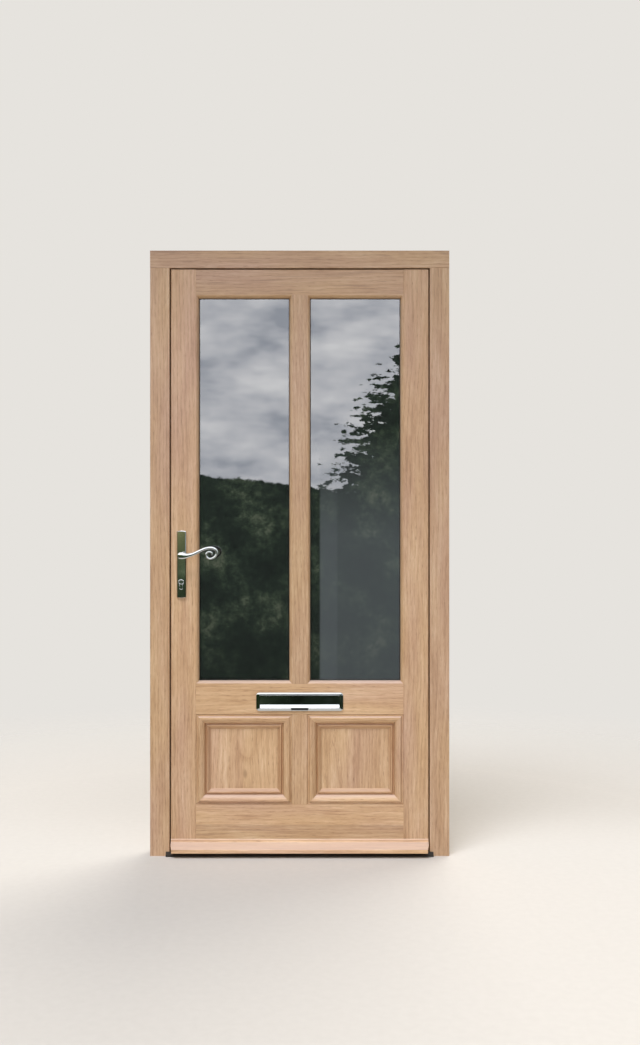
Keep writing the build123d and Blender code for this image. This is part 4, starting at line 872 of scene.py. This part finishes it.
def garden_backdrop():
    """A curved screen 8 m in front of the door, for the glass and the metal to mirror: a cloudy sky over a
    wooded hill, with a fir on the right. Its points lie on a sphere at even steps of turn and height."""
    reach, eye = GARDEN_REACH, EYE
    turn = np.linspace(-GARDEN_TURN, GARDEN_TURN, 64)[None, :]
    rise = np.linspace(*GARDEN_RISE, 40)[:, None]
    x, y = reach * np.cos(rise) * np.sin(turn), -reach * np.cos(rise) * np.cos(turn)
    points = np.stack(np.broadcast_arrays(x, y, eye + reach * np.sin(rise)), -1)
    rows, columns = points.shape[:2]
    first = (np.arange(rows - 1)[:, None] * columns + np.arange(columns - 1)).reshape(-1)
    faces = np.column_stack((first, first + 1, first + columns + 1, first + columns))
    screen = stand("garden_backdrop", points.reshape(-1, 3).tolist(), faces.tolist())
    screen.data.shade_smooth()
    hide(screen, "camera", "diffuse", "transmission", "shadow")

    material, tree, place = new_material("garden_light")
    # the picture is drawn as if on an upright sheet at the same distance
    x, y, z = (node(tree, "SeparateXYZ", {0: place}, axis) for axis in "XYZ")
    away = node(tree, "Math", {0: y, 1: -1.0 / reach}, operation="MULTIPLY")
    away = node(tree, "Math", {0: away, 1: 0.12}, operation="MAXIMUM")
    across = node(tree, "Math", {0: x, 1: away}, operation="DIVIDE")
    up = node(tree, "Math", {0: z, 1: eye}, operation="SUBTRACT")
    up = node(tree, "Math", {0: up, 1: away}, operation="DIVIDE")
    up = node(tree, "Math", {0: up, 1: eye}, operation="ADD")
    sheet = node(tree, "CombineXYZ", {"X": across, "Y": up})

    spot = node(tree, "Mapping", {"Vector": sheet, "Scale": (1.1, 2.6, 1.0)})
    cloud = node(tree, "TexNoise", {"Vector": spot, "Scale": 1.0, "Detail": 6.0, "Roughness": 0.56})
    greys = ((0.34, "#989ca6"), (0.45, "#b3b5bc"), (0.54, "#c2c3c8"), (0.68, "#d8d8da"))
    sky = node(tree, "ValToRGB", {"Fac": cloud}, stops=graded(greys))

    leaf = node(tree, "TexNoise", {"Vector": sheet, "Scale": 12.0, "Detail": 8.0, "Roughness": 0.8})
    shadow = node(tree, "TexNoise", {"Vector": sheet, "Scale": 2.2, "Detail": 3.0})
    leaf = node(tree, "Math", {0: leaf, 1: shadow}, operation="MULTIPLY")
    greens = ((0.17, "#0a0f0b"), (0.25, "#1f2a20"), (0.31, "#3d4a38"), (0.38, "#6b725e"))
    wood = node(tree, "ValToRGB", {"Fac": leaf}, stops=graded(greens))
    # the foot of the garden is in shade
    foot = {"Value": up, "From Min": -0.7, "From Max": 0.5, "To Min": 0.7, "To Max": 0.0}
    shade = node(tree, "MapRange", foot)
    wood = node(tree, "Mix", {0: shade, 6: wood, 7: colour("#080b06")}, 2, data_type="RGBA")
    # a sunlit bank on the left, bright at eye level and dark at the foot
    bank = node(tree, "MapRange", {"Value": across, "From Min": -1.2, "From Max": -1.5})
    left = node(tree, "MapRange", {"Value": across, "From Min": -5.2, "From Max": -4.0})
    bank = node(tree, "Math", {0: bank, 1: left}, operation="MULTIPLY")
    lit = node(tree, "MapRange", {"Value": up, "From Min": 0.3, "From Max": 1.3})
    banks = ((0.0, "#141c0f"), (0.39, "#242818"), (0.66, "#4c4c32"), (0.88, "#777753"))
    grass = node(tree, "ValToRGB", {"Fac": lit}, stops=graded(banks))
    wood = node(tree, "Mix", {0: bank, 6: wood, 7: grass}, 2, data_type="RGBA")

    # the hill falls to the right, with ragged treetops
    tops = node(tree, "TexNoise", {"Vector": sheet, "Scale": 6.0, "Detail": 6.0, "Roughness": 0.7})
    ragged = node(tree, "Math", {0: tops, 1: 0.16, 2: -0.08}, operation="MULTIPLY_ADD")
    hill = node(tree, "Math", {0: across, 1: 0.116, 2: up}, operation="MULTIPLY_ADD")
    hill = node(tree, "Math", {0: hill, 1: ragged}, operation="ADD")
    line = {"Value": hill, "From Min": 1.5, "From Max": 1.52, "To Min": 1.0, "To Max": 0.0}
    hill = node(tree, "MapRange", line)
    # the fir's left edge leans out as a square of the height, and its twigs break it up
    over = node(tree, "Math", {0: up, 1: 1.55}, operation="SUBTRACT")
    lean = node(tree, "Math", {0: over, 1: 0.2, 2: 0.26}, operation="MULTIPLY_ADD")
    lean = node(tree, "Math", {0: lean, 1: over}, operation="MULTIPLY")
    inside = node(tree, "Math", {0: across, 1: lean}, operation="SUBTRACT")
    spot = node(tree, "Mapping", {"Vector": sheet, "Rotation": (0.0, 0.0, 0.5), "Scale": (7.0, 15.0, 1.0)})
    twigs = node(tree, "TexNoise", {"Vector": spot, "Scale": 1.0, "Detail": 6.0, "Roughness": 0.66})
    inside = node(tree, "Math", {0: twigs, 1: 1.9, 2: inside}, operation="MULTIPLY_ADD")
    fir = node(tree, "MapRange", {"Value": inside, "From Min": 1.16, "From Max": 1.22})
    ends = node(tree, "MapRange", {"Value": up, "From Min": 3.6, "From Max": 3.2})
    fir = node(tree, "Math", {0: fir, 1: ends}, operation="MULTIPLY")
    covered = node(tree, "Math", {0: hill, 1: fir}, operation="MAXIMUM")
    shown = node(tree, "Mix", {0: covered, 6: sky, 7: wood}, 2, data_type="RGBA")
    # a pale veil lies low on the right, brighter at its near edge
    beside = node(tree, "MapRange", {"Value": across, "From Min": 0.06, "From Max": 0.08})
    near = {"Value": across, "From Min": 0.24, "From Max": 0.26, "To Min": 1.25, "To Max": 1.0}
    edge = node(tree, "MapRange", near)
    below = node(tree, "MapRange", {"Value": up, "From Min": 2.1, "From Max": 1.0, "To Max": 0.42})
    above = node(tree, "MapRange", {"Value": up, "From Min": -0.54, "From Max": -0.48})
    haze = beside
    for share in (below, above, edge):
        haze = node(tree, "Math", {0: haze, 1: share}, operation="MULTIPLY")
    shown = node(tree, "Mix", {0: haze, 6: shown, 7: colour("#8b9298")}, 2, data_type="RGBA")
    # the sky is bright near the hill and dim overhead
    overhead = {"Value": up, "From Min": 3.6, "From Max": 4.8, "To Min": 5.3, "To Max": 3.4}
    bright = node(tree, "MapRange", overhead)
    power = node(tree, "Mix", {0: covered, 2: bright, 3: 3.0})
    node(tree, "OutputMaterial", {"Surface": node(tree, "Emission", {"Color": shown, "Strength": power})})
    screen.data.materials.append(material)


def pale_floor():
    """A round pale floor that fades into the background at its edge."""
    turn = np.linspace(0, tau, 96, endpoint=False)
    ring = np.column_stack((np.cos(turn) * FLOOR_REACH, np.sin(turn) * FLOOR_REACH, np.zeros(96)))
    floor = stand("floor", ring.tolist(), [list(range(96))])
    hide(floor, "glossy")
    material, tree, place = new_material("pale_floor")
    away = node(tree, "VectorMath", {0: place}, "Value", operation="LENGTH")
    speckle = node(tree, "TexNoise", {"Vector": place, "Scale": 40.0, "Detail": 4.0})
    pales = ((0.3, "#cbc8c2"), (0.7, "#cecbc5"))
    fade = {"Value": away, "From Min": FLOOR_FADE, "From Max": FLOOR_REACH, "To Min": 1.0, "To Max": 0.0}
    inputs = {
        "Base Color": node(tree, "ValToRGB", {"Fac": speckle}, stops=graded(pales)),
        "Roughness": 0.8,
        "Alpha": node(tree, "MapRange", fade),
    }
    node(tree, "OutputMaterial", {"Surface": node(tree, "BsdfPrincipled", inputs)})
    floor.data.materials.append(material)


def pale_world():
    """A pale background for the camera, gloss and glass, and a soft fill for the rest."""
    world = bpy.data.worlds.new("studio_world")
    SCENE.world = world
    world.use_nodes = True
    tree = world.node_tree
    tree.nodes.clear()
    kinds = ("Camera", "Glossy", "Transmission")
    camera, gloss, glass = (node(tree, "LightPath", output=f"Is {kind} Ray") for kind in kinds)
    seen = node(tree, "Math", {0: camera, 1: gloss}, operation="MAXIMUM")
    seen = node(tree, "Math", {0: seen, 1: glass}, operation="MAXIMUM")
    pale = node(tree, "Background", {"Color": colour("#e6e3de"), "Strength": 1.0})
    soft = node(tree, "Background", {"Color": colour("#fbf3ea"), "Strength": 0.28})
    node(tree, "OutputWorld", {"Surface": node(tree, "MixShader", {0: seen, 1: soft, 2: pale})})


def shade_board():
    """A board above and in front of the door takes a little light from its top. Only its shadow is seen."""
    (left, right), (near, far), up = BOARD
    spots = ((left, near), (right, near), (right, far), (left, far))
    shade = stand("shade_board", [(x, y, up) for x, y in spots], [(0, 1, 2, 3)])
    hide(shade, "camera", "glossy", "diffuse", "transmission")
    material, tree, _ = new_material("grey_board")
    node(tree, "OutputMaterial", {"Surface": node(tree, "BsdfDiffuse", {"Color": colour("#808080")})})
    shade.data.materials.append(material)


def lamp(name, kind, place, target, power, size, tint):
    """A soft lamp turned from its place to face a target. It lights things but isn't mirrored."""
    data = bpy.data.lights.new(name, kind)
    data.energy = power
    data.color = colour(tint)[:3]
    if kind == "SUN":
        data.angle = size
    else:
        data.size = size
    made = bpy.data.objects.new(name, data)
    made.location = place
    x, y, z = np.subtract(target, place)
    made.rotation_euler = (pi / 2 + np.arctan2(z, np.hypot(x, y)), 0.0, np.arctan2(y, x) - pi / 2)
    hide(made, "glossy", "transmission", "camera")
    SCENE.collection.objects.link(made)


def portrait_camera():
    """The camera stands 4 m in front of the door, at chest height and level, as the photograph was taken."""
    data = bpy.data.cameras.new("portrait_camera")
    data.lens = LENS
    made = bpy.data.objects.new("portrait_camera", data)
    made.location = CAMERA
    made.rotation_euler = (pi / 2, 0.0, 0.0)
    SCENE.collection.objects.link(made)
    SCENE.camera = made


SCENE.view_settings.view_transform = "Standard"
portrait_camera()
pale_floor()
pale_world()
garden_backdrop()
shade_board()
lamp("sky_lamp", "SUN", (-2.0, -4.6, 8.0), (0.0, 0.0, 0.0), 2.65, radians(32), "#f6f8ff")
lamp("front_softbox", "AREA", (0.7, -5.0, 0.9), (0.0, 0.0, 0.9), 52.0, 3.0, "#fff3e4")
lamp("back_lamp", "SUN", (2.6, 5.0, 5.0), (0.0, 0.0, 0.0), 2.3, radians(50), "#fff8ee")

finishes = make_finishes()
dress_frame(finishes)
mouldings(finishes)
weather_bar(finishes)
for place, side in SIDES:
    scroll_lever(place, side, finishes)
    letter_plate(place, side, finishes)
fixings(finishes)
cylinder_rims(finishes)
